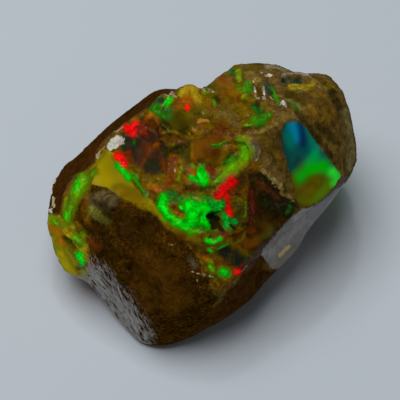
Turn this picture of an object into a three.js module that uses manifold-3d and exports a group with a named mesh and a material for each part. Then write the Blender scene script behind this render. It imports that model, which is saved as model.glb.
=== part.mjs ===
// A rough fire opal, in millimetres, +Z up, lying on a flat break. The origin is the middle of the box round it, at the base.
// The stone is a cage of named corners with sharp lines between some of them. The cage is split finely, softened between
// the sharp lines and roughened.
import * as THREE from "three";
import { ConvexHull } from "three/addons/math/ConvexHull.js";
import { mergeVertices } from "three/addons/utils/BufferGeometryUtils.js";
import Module from "manifold-3d";

const heart = new THREE.Vector3(2, 1, 13); // every corner can be seen from here
const ridgeStep = 2.2; // between the corners that are added along a sharp line
const longestEdge = 1.9; // of a triangle on the finished stone
const softenings = 6; // rounds of smoothing on the facets between the sharp lines
const softeningSteps = [0.5, -0.52]; // towards a corner's neighbours and back, so that nothing shrinks
const lumps = { size: 5.5, height: 0.5 }; // broad swellings
const bumps = { size: 2.4, height: 0.3 }; // knobs and hollows on them

// Each region has the grit of its surface, from 0 for a glassy break to 1 for weathered rind, and its corners [x, y, z].
const regions = {
  westTip: {
    grit: 0.35,
    corners: {
      tipWest: [-19.5, 12.6, 11.2],
      tipSouthWest: [-20.7, 9.3, 8.6],
      tipSouth: [-21.2, 5.8, 6.7],
      foldTop: [-18.0, 10.4, 14.8],
      foldMiddle: [-18.6, 6.7, 14.2],
      foldFoot: [-19.7, 3.8, 11.9],
      tipInner: [-18.9, 2.7, 12.6],
      tipHeel: [-19.6, 3.9, 7.0],
      rimFoot: [-17.1, 15.3, 10.7],
    },
  },
  darkFlank: {
    grit: 0.2,
    corners: {
      rimWest: [-14.1, 18.2, 11.4],
      rimA: [-10.8, 19.3, 11.6],
      rimB: [-7.1, 19.7, 11.8],
      rimC: [-1.5, 19.8, 13.6],
      rimD: [2.8, 19.1, 15.4],
      rimE: [6.1, 18.0, 17.6],
      rimF: [8.2, 15.0, 19.1],
      notch: [10.2, 11.8, 20.9],
      flankA: [-12.2, 15.5, 14.9],
      flankB: [-2.4, 16.1, 18.5],
      flankC: [4.8, 14.3, 21.7],
    },
  },
  crest: {
    grit: 0.3,
    corners: {
      crestWest: [-9.0, 12.7, 21.4],
      crestA: [-7.1, 12.5, 22.7],
      crestB: [-4.5, 12.0, 24.2],
      crestC: [-0.9, 11.4, 25.7],
      crestD: [1.7, 11.4, 26.1],
      crestE: [4.0, 10.8, 26.3],
      crestKnob: [6.5, 10.8, 25.8],
      crestFoot: [8.0, 10.6, 23.7],
    },
  },
  greenBand: {
    grit: 0.3,
    corners: {
      bandA: [-10.0, 11.7, 20.3],
      bandB: [-11.3, 11.8, 19.1],
      bandC: [-13.5, 13.0, 17.6],
      bandD: [-15.5, 12.3, 16.2],
      innerA: [-12.7, 9.4, 19.5],
      innerB: [-14.1, 9.5, 18.8],
      innerC: [-15.8, 9.3, 17.5],
      innerD: [-17.9, 8.1, 15.9],
    },
  },
  honeyFacet: {
    grit: 0.06,
    corners: {
      honeyTop: [-8.3, 9.8, 23.5],
      honeyA: [-9.0, 7.6, 23.4],
      honeyB: [-9.3, 4.4, 23.3],
      honeyC: [-9.2, 0.2, 22.7],
      honeyD: [-10.9, 3.9, 20.4],
      honeyE: [-11.3, 7.3, 19.7],
      honeyFace: [-10.0, 8.2, 20.2],
    },
  },
  frontRind: {
    grit: 0.8,
    corners: {
      mound: [-14.1, 5.2, 21.1],
      moundFoot: [-16.3, 3.9, 16.8],
      moundSide: [-12.8, 2.5, 20.6],
      rindA: [-13.0, 0.6, 19.3],
      rindB: [-16.2, 0.2, 16.5],
      rindC: [-13.5, -5.4, 17.6],
      rindD: [-12.1, -12.7, 12.0],
      rindE: [-13.0, -9.7, 14.8],
      rindF: [-16.2, -6.3, 13.7],
      rindG: [-16.8, 6.3, 17.1],
      lipA: [-9.1, -4.1, 22.4],
      lipB: [-8.4, -7.2, 21.6],
      lipC: [-7.5, -10.2, 20.5],
      lipD: [-8.9, -11.7, 18.3],
      lipE: [-8.2, -14.2, 15.4],
      keelA: [-18.5, 1.1, 12.7],
      keelB: [-17.6, -2.7, 11.9],
      keelC: [-17.4, -6.9, 9.7],
      keelD: [-17.0, -10.0, 6.4],
      frontEdge: [-12.4, -13.0, 7.3],
      frontEdgeB: [-7.7, -14.6, 9.8],
    },
  },
  frontUndercut: {
    grit: 0.25,
    corners: {
      underA: [-18.7, 2.1, 4.3],
      underB: [-18.4, -1.3, 2.4],
      underC: [-18.1, -4.6, 1.1],
      underD: [-18.0, -7.6, 0.9],
      footA: [-15.8, -10.4, 1.1],
      footB: [-11.8, -12.7, 2.7],
      footC: [-7.1, -14.4, 5.4],
      footD: [-2.5, -15.3, 7.9],
    },
  },
  opalField: {
    grit: 0.45,
    corners: {
      poolA: [-5.4, 9.5, 23.1],
      poolB: [-4.5, 6.4, 22.6],
      poolC: [-2.4, 7.1, 24.0],
      poolRimA: [-7.7, 3.7, 24.1],
      poolRimB: [-5.4, 1.5, 25.1],
      poolRimC: [-2.7, 2.3, 26.0],
      poolRimD: [-1.3, 5.2, 27.1],
      poolRimE: [-0.7, 8.3, 27.2],
      crumbs: [2.0, 2.9, 28.5],
      crumbFoot: [-0.4, 3.1, 26.2],
      slopeA: [3.6, 7.9, 27.0],
      domeA: [0.6, -1.1, 28.1],
      domeB: [-1.7, 0.1, 26.8],
      domeC: [4.0, -1.3, 28.6],
      midA: [-4.9, -2.1, 24.7],
      midB: [-2.4, -2.7, 26.1],
      midC: [-7.4, 0.3, 23.7],
      troughA: [4.1, -4.1, 27.7],
      troughB: [0.1, -4.3, 26.2],
      bladeA: [5.2, -3.6, 29.4],
      bladeB: [5.8, -5.3, 30.0],
      bladeC: [5.4, -6.7, 29.6],
      bladeD: [4.1, -7.4, 28.8],
      bladeE: [2.2, -6.9, 28.0],
      bladeF: [0.1, -6.6, 27.1],
      bladeG: [-2.3, -6.4, 25.6],
      greenA: [-5.7, -6.2, 24.0],
      greenB: [-7.9, -2.5, 23.7],
      holeA: [-3.5, -8.6, 21.9],
      greenC: [-0.8, -9.0, 23.9],
      arcA: [-5.8, -9.8, 21.4],
      arcB: [-2.9, -10.8, 21.8],
      glassA: [-4.3, -12.5, 19.2],
      glassB: [-6.2, -13.3, 17.6],
    },
  },
  cavern: {
    grit: 0.2,
    corners: {
      cavernA: [2.9, -8.1, 24.4],
      cavernB: [4.6, -9.8, 22.6],
      cavernC: [5.9, -11.7, 19.7],
      cavernD: [3.0, -10.8, 19.8],
      cavernE: [0.3, -10.7, 20.0],
      cavernF: [1.4, -12.5, 18.1],
    },
  },
  edge: {
    grit: 0.2,
    corners: {
      edgeEnd: [18.2, -12.3, 17.7],
      edgeA: [16.4, -12.6, 18.8],
      edgeB: [12.6, -13.6, 19.0],
      edgeC: [9.6, -13.6, 19.6],
      edgeD: [7.4, -13.3, 20.4],
      edgeE: [4.0, -13.5, 19.2],
      edgeF: [-0.1, -14.2, 17.9],
      edgeG: [-3.7, -14.5, 16.8],
      edgeH: [-5.7, -14.5, 15.6],
    },
  },
  paleFacet: {
    grit: 0.05,
    corners: {
      paleA: [19.5, -11.6, 15.1],
      paleB: [17.3, -11.6, 13.3],
      paleC: [13.3, -12.2, 11.2],
      paleD: [11.0, -12.3, 10.0],
      paleE: [8.0, -13.6, 8.7],
      paleF: [4.9, -13.9, 8.2],
      paleG: [1.9, -14.3, 8.5],
    },
  },
  window: {
    grit: 0.04,
    corners: {
      paneA: [7.7, -12.8, 21.9],
      paneB: [9.0, -9.3, 25.1],
      paneC: [9.9, -6.4, 27.5],
      paneD: [11.0, -5.3, 28.5],
      paneE: [12.6, -5.2, 28.7],
      paneF: [14.1, -6.2, 27.7],
      paneG: [15.1, -9.1, 24.0],
      paneH: [16.1, -12.0, 20.6],
      paneMiddle: [13.0, -7.8, 23.8],
      paneLow: [12.0, -11.0, 20.5],
    },
  },
  shelf: {
    grit: 0.6,
    corners: {
      ledgeA: [4.5, -8.2, 28.3],
      ledgeB: [5.2, -10.3, 26.3],
      ledgeC: [6.2, -11.7, 24.2],
      shelfA: [7.8, -6.4, 30.0],
      shelfB: [6.9, -8.4, 28.2],
      shelfC: [9.1, -4.0, 30.0],
    },
  },
  eastCap: {
    grit: 0.8,
    corners: {
      capA: [18.9, -5.6, 26.0],
      capB: [19.0, -9.0, 22.5],
      capC: [19.1, -11.3, 19.1],
      capD: [23.4, -7.7, 18.7],
      capE: [23.3, -9.5, 15.7],
      capF: [25.7, -4.0, 19.3],
      capG: [26.7, -1.2, 20.4],
      capH: [26.5, 1.9, 21.1],
      capI: [24.1, 4.6, 21.0],
      capJ: [22.9, 5.6, 21.2],
      capK: [22.0, 8.1, 21.2],
      capL: [19.3, 10.2, 21.1],
      capM: [16.4, 11.6, 21.6],
      capN: [13.3, 11.9, 21.5],
      capO: [21.2, -11.2, 15.7],
      slitA: [16.9, 7.2, 24.6],
      slitB: [17.4, 4.7, 25.3],
      slitC: [18.8, 3.1, 25.5],
      slitD: [21.1, 2.5, 24.9],
      slitE: [22.3, 0.9, 24.9],
      slitF: [21.7, -1.7, 25.5],
      slitG: [23.5, -3.5, 23.2],
      browA: [19.2, 0.4, 26.0],
      topA: [9.4, 6.5, 26.3],
      topB: [11.4, 4.9, 27.2],
      topC: [11.4, 0.8, 28.6],
      topD: [14.5, -1.5, 28.4],
      topE: [16.7, -4.1, 28.3],
      topF: [7.6, 0.4, 28.5],
      topG: [5.6, 1.9, 27.7],
    },
  },
  southWall: {
    grit: 0.35,
    corners: {
      wallRib: [-2.6, -15.2, 12.2],
      wallScoop: [4.2, -12.5, 13.6],
      wallEast: [13.6, -11.6, 14.9],
      lowRib: [-1.0, -12.6, 2.6],
      lowScoopA: [-7.2, -10.9, 1.8],
      lowScoopB: [5.6, -10.4, 3.6],
      eastRib: [12.4, -10.6, 5.4],
      lowScoopC: [16.8, -7.2, 4.2],
    },
  },
  back: {
    grit: 0.7,
    corners: {
      backA: [-19.5, 10.0, 4.5],
      backB: [-15.0, 16.2, 5.5],
      backC: [-7.0, 18.4, 4.6],
      backD: [1.0, 19.2, 6.4],
      backE: [8.5, 18.0, 9.0],
      backF: [13.0, 15.6, 12.6],
      backG: [19.0, 12.6, 12.0],
      backH: [24.0, 8.0, 12.5],
      backI: [27.3, 2.0, 11.5],
      backJ: [26.4, -4.0, 9.5],
      backK: [22.0, -8.8, 8.0],
      backL: [10.4, 14.2, 15.6],
      backM: [-3.0, 15.6, 2.2],
      backN: [9.0, 13.6, 3.6],
      backO: [18.5, 9.0, 4.6],
      backP: [23.4, 1.0, 3.4],
      scoopA: [-5.5, 18.4, 9.0],
      scoopB: [14.4, 12.2, 7.2],
    },
  },
  base: {
    grit: 0.4,
    corners: {
      baseA: [-14.5, -6.5, -1.4],
      baseB: [-15.8, 1.0, -1.4],
      baseC: [-13.4, 8.0, -1.4],
      baseD: [-5.0, 11.8, -1.4],
      baseE: [5.0, 11.2, -1.4],
      baseF: [14.0, 8.0, -1.4],
      baseG: [19.0, 1.0, -1.4],
      baseH: [14.5, -5.8, -1.4],
      baseI: [5.0, -9.0, -1.4],
      baseJ: [-6.0, -10.0, -1.4],
    },
  },
};

// Sharp lines on the stone, each from corner to corner.
const ridgeLines = {
  crest: ["crestWest", "crestA", "crestB", "crestC", "crestD", "crestE", "crestKnob", "crestFoot", "notch"],
  rim: ["tipWest", "rimFoot", "rimWest", "rimA", "rimB", "rimC", "rimD", "rimE", "rimF", "notch", "capN", "capM"],
  band: ["foldTop", "bandD", "bandC", "bandB", "bandA", "crestWest"],
  bandInner: ["foldTop", "innerD", "innerC", "innerB", "innerA"],
  fold: ["foldTop", "foldMiddle", "foldFoot", "tipHeel"],
  honeyFoot: ["bandA", "innerA", "honeyE", "honeyD", "honeyC"],
  honeySide: ["crestWest", "honeyTop", "honeyA", "honeyB", "honeyC"],
  lip: ["honeyC", "lipA", "lipB", "lipC", "lipD", "lipE", "edgeH"],
  keel: ["tipHeel", "tipInner", "keelA", "keelB", "keelC", "keelD", "frontEdge", "frontEdgeB", "edgeH"],
  under: ["tipHeel", "underA", "underB", "underC", "underD", "footA", "footB", "footC", "footD", "paleG"],
  edge: ["paleA", "edgeEnd", "edgeA", "edgeB", "edgeC", "edgeD", "edgeE", "edgeF", "edgeG", "edgeH"],
  pale: ["paleA", "paleB", "paleC", "paleD", "paleE", "paleF", "paleG"],
  pane: ["edgeD", "paneA", "paneB", "paneC", "paneD", "paneE", "paneF", "paneG", "paneH", "edgeA"],
  ledge: ["bladeE", "ledgeA", "ledgeB", "ledgeC", "paneA"],
  blade: ["bladeA", "bladeB", "bladeC", "bladeD", "bladeE", "bladeF", "bladeG"],
  poolRim: ["honeyB", "poolRimA", "poolRimB", "poolRimC", "poolRimD", "poolRimE", "crestD"],
  slit: ["slitA", "slitB", "slitC", "slitD", "slitE", "slitF", "slitG"],
  backKeel: ["tipSouthWest", "backA", "backB", "backC", "backD", "backE", "backF"],
  backSpine: ["notch", "backL", "backF", "backG", "backH"],
  backFoot: ["backF", "backN", "baseE"],
  southRib: ["edgeG", "wallRib", "footD", "lowRib", "baseI"],
  eastRib: ["paleC", "eastRib", "baseH"],
  westRib: ["footB", "baseJ"],
};

const edgeKey = (a, b) => (a < b ? a + "_" + b : b + "_" + a);

// The corners with their grit, and the sharp lines between them as pairs of corners.
function cage() {
  const mesh = { places: [], grit: [], triangles: [] };
  const ridges = new Set();
  const numbers = new Map();
  const add = (place, grit) => {
    mesh.grit.push(grit);
    return mesh.places.push(place) - 1;
  };
  for (const { grit, corners } of Object.values(regions)) {
    for (const [name, place] of Object.entries(corners)) numbers.set(name, add(new THREE.Vector3(...place), grit));
  }
  for (const line of Object.values(ridgeLines)) {
    for (let i = 1; i < line.length; i++) {
      const [from, to] = [numbers.get(line[i - 1]), numbers.get(line[i])];
      const steps = Math.ceil(mesh.places[from].distanceTo(mesh.places[to]) / ridgeStep);
      let last = from;
      for (let step = 1; step <= steps; step++) {
        const share = step / steps;
        const place = mesh.places[from].clone().lerp(mesh.places[to], share);
        const next = step < steps ? add(place, THREE.MathUtils.lerp(mesh.grit[from], mesh.grit[to], share)) : to;
        ridges.add(edgeKey(last, next));
        last = next;
      }
    }
  }
  return { mesh, ridges };
}

// Closes the skin: the hull of the corners' directions from the heart gives its triangles.
function closeSkin(mesh) {
  const numbers = new Map();
  mesh.places.forEach((place, i) => numbers.set(place.clone().sub(heart).normalize(), i));
  const hull = new ConvexHull().setFromPoints([...numbers.keys()]);
  mesh.triangles = hull.faces.map((face) => {
    const triangle = [];
    let edge = face.edge;
    do {
      triangle.push(numbers.get(edge.head().point));
      edge = edge.next;
    } while (edge !== face.edge);
    return triangle;
  });
}

// Adds the middle of every edge longer than the limit. A sharp line's halves are sharp.
function splitLongEdges(mesh, ridges, limit) {
  const done = new Set();
  for (const triangle of mesh.triangles) {
    for (const i of [0, 1, 2]) {
      const [a, b] = [triangle[i], triangle[(i + 1) % 3]];
      const key = edgeKey(a, b);
      if (done.has(key) || mesh.places[a].distanceTo(mesh.places[b]) <= limit) continue;
      done.add(key);
      const middle = mesh.places.push(mesh.places[a].clone().lerp(mesh.places[b], 0.5)) - 1;
      mesh.grit.push((mesh.grit[a] + mesh.grit[b]) / 2);
      if (ridges.delete(key)) {
        ridges.add(edgeKey(a, middle));
        ridges.add(edgeKey(middle, b));
      }
    }
  }
  closeSkin(mesh);
  return done.size > 0;
}

// Evens out the facets. A corner on a sharp line moves only along with its two neighbours on that line.
function soften({ places, triangles }, ridges) {
  const around = places.map(() => new Set());
  const along = places.map(() => new Set());
  for (const triangle of triangles) {
    for (const i of [0, 1, 2]) {
      const [a, b] = [triangle[i], triangle[(i + 1) % 3]];
      const ties = ridges.has(edgeKey(a, b)) ? [around, along] : [around];
      for (const tie of ties) {
        tie[a].add(b);
        tie[b].add(a);
      }
    }
  }
  for (let round = 0; round < softenings; round++) {
    for (const step of softeningSteps) {
      const before = places.map((place) => place.clone());
      places.forEach((place, i) => {
        if (along[i].size && along[i].size !== 2) return; // where sharp lines meet or end, the corner stays
        const ties = along[i].size ? along[i] : around[i];
        const mean = new THREE.Vector3();
        for (const k of ties) mean.add(before[k]);
        place.lerp(mean.divideScalar(ties.size), step);
      });
    }
  }
}

// A repeatable number from -1 to 1 for a point of a whole-number lattice.
function lattice(x, y, z) {
  const mixed = Math.sin(x * 127.1 + y * 311.7 + z * 74.7) * 43758.5453;
  return 2 * (mixed - Math.floor(mixed)) - 1;
}

// Smooth noise from -1 to 1 with swellings of about the given size.
function noise(place, size) {
  const [x, y, z] = [place.x / size, place.y / size, place.z / size];
  const cell = [x, y, z].map(Math.floor);
  const [u, v, w] = [x, y, z].map((value, i) => THREE.MathUtils.smoothstep(value - cell[i], 0, 1));
  let sum = 0;
  for (const [i, j, k] of [[0, 0, 0], [1, 0, 0], [0, 1, 0], [1, 1, 0], [0, 0, 1], [1, 0, 1], [0, 1, 1], [1, 1, 1]]) {
    const share = (i ? u : 1 - u) * (j ? v : 1 - v) * (k ? w : 1 - w);
    sum += share * lattice(cell[0] + i, cell[1] + j, cell[2] + k);
  }
  return sum;
}

// Pushes the surface in and out along its normals, by its grit.
function roughen({ places, grit, triangles }) {
  const normals = places.map(() => new THREE.Vector3());
  for (const [a, b, c] of triangles) {
    const side = places[b].clone().sub(places[a]);
    const normal = side.cross(places[c].clone().sub(places[a])).normalize();
    for (const i of [a, b, c]) normals[i].add(normal);
  }
  const heights = places.map((place) => lumps.height * noise(place, lumps.size) + bumps.height * noise(place, bumps.size));
  places.forEach((place, i) => place.addScaledVector(normals[i].normalize(), grit[i] * heights[i]));
}

function geometryOf({ places, triangles }) {
  const geometry = new THREE.BufferGeometry();
  geometry.setAttribute("position", new THREE.Float32BufferAttribute(places.flatMap((p) => p.toArray()), 3));
  geometry.setIndex(triangles.flat());
  return geometry;
}

function solidOf(wasm, geometry) {
  const bare = new THREE.BufferGeometry().setAttribute("position", geometry.getAttribute("position"));
  bare.setIndex(geometry.index);
  const merged = mergeVertices(bare, 1e-4);
  return new wasm.Manifold(
    new wasm.Mesh({
      numProp: 3,
      vertProperties: merged.attributes.position.array,
      triVerts: new Uint32Array(merged.index.array),
    }),
  );
}

function geometryFrom(solid) {
  const { vertProperties, triVerts } = solid.getMesh();
  const geometry = new THREE.BufferGeometry();
  geometry.setAttribute("position", new THREE.BufferAttribute(vertProperties, 3));
  geometry.setIndex(new THREE.BufferAttribute(triVerts, 1));
  return geometry;
}

// The flat break that the stone lies on: everything below z = 0 is cut off.
function cutFlat(wasm, geometry) {
  const reach = 200;
  const above = new THREE.BoxGeometry(reach, reach, reach).translate(0, 0, reach / 2);
  return geometryFrom(solidOf(wasm, geometry).intersect(solidOf(wasm, above)));
}

function centreOnBase(geometry) {
  geometry.computeBoundingBox();
  const middle = geometry.boundingBox.getCenter(new THREE.Vector3());
  return geometry.translate(-middle.x, -middle.y, -geometry.boundingBox.min.z);
}

const wasm = await Module();
wasm.setup();

const { mesh, ridges } = cage();
closeSkin(mesh);
for (const limit of [4 * longestEdge, 2 * longestEdge, longestEdge]) {
  while (splitLongEdges(mesh, ridges, limit));
}
soften(mesh, ridges);
roughen(mesh);

const opal = new THREE.Mesh(
  centreOnBase(cutFlat(wasm, geometryOf(mesh))),
  new THREE.MeshStandardMaterial({ color: 0x5a4410, roughness: 0.35, metalness: 0 }),
);
opal.name = "rough_opal";

const stone = new THREE.Group();
stone.add(opal);
export default stone;
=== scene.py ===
import math

import bmesh
import bpy
import numpy as np
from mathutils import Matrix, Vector, noise


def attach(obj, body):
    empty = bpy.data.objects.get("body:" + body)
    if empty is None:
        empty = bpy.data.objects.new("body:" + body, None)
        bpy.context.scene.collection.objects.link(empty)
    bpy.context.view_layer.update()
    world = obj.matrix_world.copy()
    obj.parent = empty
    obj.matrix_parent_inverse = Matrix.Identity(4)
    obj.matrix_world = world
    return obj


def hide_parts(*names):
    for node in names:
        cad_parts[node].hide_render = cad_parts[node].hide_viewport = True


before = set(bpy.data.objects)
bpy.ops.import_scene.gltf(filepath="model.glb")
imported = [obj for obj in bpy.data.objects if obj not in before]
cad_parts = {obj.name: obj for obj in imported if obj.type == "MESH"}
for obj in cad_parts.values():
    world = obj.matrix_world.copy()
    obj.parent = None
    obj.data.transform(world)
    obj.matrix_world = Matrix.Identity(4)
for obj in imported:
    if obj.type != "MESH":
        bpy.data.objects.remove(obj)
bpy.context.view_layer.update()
print("frame loaded:", ", ".join(sorted(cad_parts)))

mm = 0.001

# The camera. Places on the stone are given as it sees them,
# in a frame 400 wide and 400 high, x to the right and y down.
lookout = {
    "azimuth": -39,  # degrees round the stone
    "elevation": 58,  # degrees above the floor
    "aim": (-3.22 * mm, -2.21 * mm, 14 * mm),
    "distance": 220 * mm,
    "lens": 132.66,
    "sensor": 36,
    "frameSize": 400,
}


def lookoutAxes():
    a, e = math.radians(lookout["azimuth"]), math.radians(lookout["elevation"])
    back = np.array([math.sin(a) * math.cos(e), -math.cos(a) * math.cos(e), math.sin(e)])
    right = np.array([math.cos(a), math.sin(a), 0])
    return right, np.cross(back, right), back


def spotsOf(points):  # where the camera sees each point, as x and y in its frame
    right, up, back = lookoutAxes()
    away = points - np.array(lookout["aim"])
    focal = lookout["lens"] / lookout["sensor"] * lookout["frameSize"]
    scale = focal / (lookout["distance"] - away @ back)
    half = lookout["frameSize"] / 2
    return np.stack([half + away @ right * scale, half - away @ up * scale], 1)


def makeCamera():
    back = lookoutAxes()[2]
    lens = bpy.data.cameras.new("camera")
    lens.lens, lens.sensor_width = lookout["lens"], lookout["sensor"]
    camera = bpy.data.objects.new("camera", lens)
    camera.location = Vector(lookout["aim"]) + Vector(back) * lookout["distance"]
    a, e = math.radians(lookout["azimuth"]), math.radians(lookout["elevation"])
    camera.rotation_euler = (math.pi / 2 - e, 0, a)
    bpy.context.scene.collection.objects.link(camera)
    bpy.context.scene.camera = camera


makeCamera()
print("camera placed")

# The skin: the CAD stone with its sharp breaks held, made even enough to carry fine relief.
skin = {
    "weld": 1e-6,
    "creaseAngle": 27,  # degrees: a sharper bend stays an edge
    "creaseHold": 0.7,
    "levels": 2,
    "voxel": 0.35 * mm,
    # Where the play of colour lies, each face is parted in four.
    "fineOutline": [
        (92, 150), (125, 120), (160, 95), (190, 78), (215, 74), (240, 62), (280, 66), (314, 72),
        (334, 88), (300, 112), (278, 122), (262, 134), (264, 162), (296, 200), (266, 248), (238, 284),
        (204, 290), (184, 250), (156, 224), (122, 166), (98, 168), (88, 192), (84, 220), (94, 246),
        (80, 276), (48, 262), (40, 215), (50, 175), (72, 168),
    ],
}


def linkPiece(name, mesh):
    piece = bpy.data.objects.new(name, mesh)
    bpy.context.scene.collection.objects.link(piece)
    return piece


def bakeModifiers(piece):  # the evaluated shape becomes the plain mesh
    depsgraph = bpy.context.evaluated_depsgraph_get()
    made = bpy.data.meshes.new_from_object(piece.evaluated_get(depsgraph))
    piece.modifiers.clear()
    piece.data = made


def makeSkin(source):
    mesh = source.data.copy()
    shell = bmesh.new()
    shell.from_mesh(mesh)
    bmesh.ops.remove_doubles(shell, verts=shell.verts, dist=skin["weld"])
    creases = shell.edges.layers.float.new("crease_edge")
    for edge in shell.edges:
        if edge.calc_face_angle(0) > math.radians(skin["creaseAngle"]):
            edge[creases] = skin["creaseHold"]
    shell.to_mesh(mesh)
    shell.free()
    mesh.materials.clear()
    piece = linkPiece("opal_stone", mesh)
    rounded = piece.modifiers.new("rounded", "SUBSURF")
    rounded.levels = rounded.render_levels = skin["levels"]
    even = piece.modifiers.new("even", "REMESH")
    even.mode = "VOXEL"
    even.voxel_size = skin["voxel"]
    even.use_smooth_shade = True
    bakeModifiers(piece)
    return piece


def insideOutline(spots, outline):
    corners = np.array(outline, float)
    nearest = np.full(len(spots), np.inf)
    inside = np.zeros(len(spots), bool)
    for a, b in zip(corners, np.roll(corners, -1, 0)):
        along = b - a
        share = np.clip((spots - a) @ along / (along @ along), 0, 1)
        nearest = np.minimum(nearest, np.linalg.norm(spots - a - share[:, None] * along, axis=1))
        crosses = (a[1] > spots[:, 1]) != (b[1] > spots[:, 1])
        rise = np.where(b[1] == a[1], 1, b[1] - a[1])
        inside ^= crosses & (spots[:, 0] < a[0] + along[0] * (spots[:, 1] - a[1]) / rise)
    return np.where(inside, nearest, -nearest)


def vertexArrays(mesh):
    places = np.empty(len(mesh.vertices) * 3)
    mesh.vertices.foreach_get("co", places)
    normals = np.empty(len(mesh.vertices) * 3)
    mesh.vertex_normals.foreach_get("vector", normals)
    return places.reshape(-1, 3), normals.reshape(-1, 3)


def refine(piece):
    places, normals = vertexArrays(piece.data)
    wanted = (insideOutline(spotsOf(places), skin["fineOutline"]) > 0) & (normals @ lookoutAxes()[2] > 0)
    shell = bmesh.new()
    shell.from_mesh(piece.data)
    fine = [all(wanted[v.index] for v in face.verts) for face in shell.faces]
    edges = [edge for edge in shell.edges if any(fine[face.index] for face in edge.link_faces)]
    bmesh.ops.subdivide_edges(shell, edges=edges, cuts=1, use_grid_fill=True)
    shell.to_mesh(piece.data)
    shell.free()


opal = makeSkin(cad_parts["rough_opal"])
refine(opal)
print("skin made:", len(opal.data.polygons), "faces")

# Outlines of the kinds of surface, in the camera's frame.
surfaces = {
    "frontRind": [
        (93, 185), (100, 187), (108, 188), (116, 193), (124, 200), (136, 205), (147, 208), (158, 219),
        (168, 226), (178, 232), (184, 240), (190, 247), (196, 255), (199, 264), (202, 272), (208, 284),
        (218, 300), (190, 350), (150, 350), (153, 334), (136, 311), (118, 284), (97, 267), (90, 262),
        (88, 250), (88, 240), (80, 226), (76, 214), (79, 201), (86, 192),
    ],
    "eastRind": [
        (262, 50), (300, 55), (350, 70), (375, 150), (362, 185), (344, 179), (338, 171), (321, 149),
        (304, 125), (292, 121), (284, 128), (283, 142), (290, 168), (299, 203), (286, 193), (275, 182),
        (262, 167), (262, 155), (258, 143), (250, 137), (250, 130), (266, 124), (276, 112), (264, 104),
        (256, 95), (254, 80),
    ],
    "honey": [
        (98, 156), (106, 150), (114, 153), (118, 165), (130, 181), (149, 203), (136, 203), (124, 199),
        (108, 188), (92, 184), (96, 169),
    ],
    "flank": [
        (98, 149), (107, 138), (124, 125), (146, 109), (160, 98), (175, 92), (188, 84), (203, 84),
        (150, 60), (30, 150), (30, 216), (60, 214), (64, 193), (73, 177), (88, 169), (95, 161),
    ],
    "tip": [
        (30, 216), (60, 216), (70, 222), (78, 230), (86, 240), (88, 252), (90, 262), (86, 282),
        (60, 290), (30, 262),
    ],
    "pool": [
        (120, 142), (130, 133), (140, 129), (155, 134), (166, 146), (168, 160), (166, 172), (150, 174),
        (140, 172), (131, 163), (124, 152),
    ],
    "cavern": [
        (254, 172), (262, 171), (275, 184), (286, 195), (298, 208), (281, 229), (262, 252), (250, 254),
        (242, 244), (246, 225), (250, 200), (250, 186),
    ],
    "pane": [
        (297, 202), (290, 172), (284, 150), (281, 132), (287, 122.5), (297, 121.6), (305, 127),
        (321, 149), (342, 176), (345, 184), (327, 200), (304, 208),
    ],
    "undercut": [
        (352, 176), (342, 182), (326, 199), (313, 207), (302, 210), (281, 230), (262, 253), (244, 272),
        (236, 283), (222, 300), (190, 332), (153, 336), (137, 312), (118, 285), (97, 268), (82, 270),
        (60, 282), (130, 370), (330, 300), (370, 190),
    ],
    "paleFacet": [
        (302, 209), (313, 207), (328, 197), (345, 183), (360, 178), (350, 205), (322, 222), (306, 240),
        (298, 256), (286, 268), (272, 268), (261, 254), (276, 234), (288, 221),
    ],
    "silverFacet": [
        (90, 258), (104, 266), (120, 284), (138, 310), (153, 335), (150, 360), (110, 345), (88, 312),
        (66, 282), (80, 272),
    ],
}

# Finish. Colours are linear.
finish = {
    "olive": (0.15, 0.105, 0.002),
    "amber": (0.26, 0.10, 0.002),
    "rindDark": (0.034, 0.013, 0.001),
    "rindBrown": (0.13, 0.052, 0.003),
    "rindOlive": (0.12, 0.080, 0.006),
    # pale specks on the rind and the opal: painted glints
    "glintPale": (0.30, 0.22, 0.05),
    "eastBrown": (0.165, 0.095, 0.015),
    "eastPale": (0.235, 0.145, 0.035),
    "eastDark": (0.065, 0.042, 0.008),
    "flank": (0.066, 0.024, 0.003),
    "undercut": (0.075, 0.030, 0.005),
    # dark: the cavern's own brown with painted shade of the hollow
    "cavern": (0.055, 0.026, 0.001),
    "pool": (0.055, 0.036, 0.014),
    # the tip's yellow: its own colour, lifted by a painted glow of light through the thin tip
    "tip": (0.50, 0.40, 0.005),
    "honey": (0.50, 0.375, 0.002),
    "pane": (0.125, 0.105, 0.001),
    # the facets' bright grey: a painted reflection
    "facetReflection": (0.31, 0.268, 0.225),
    "silverFacet": (0.055, 0.032, 0.016),
}

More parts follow.
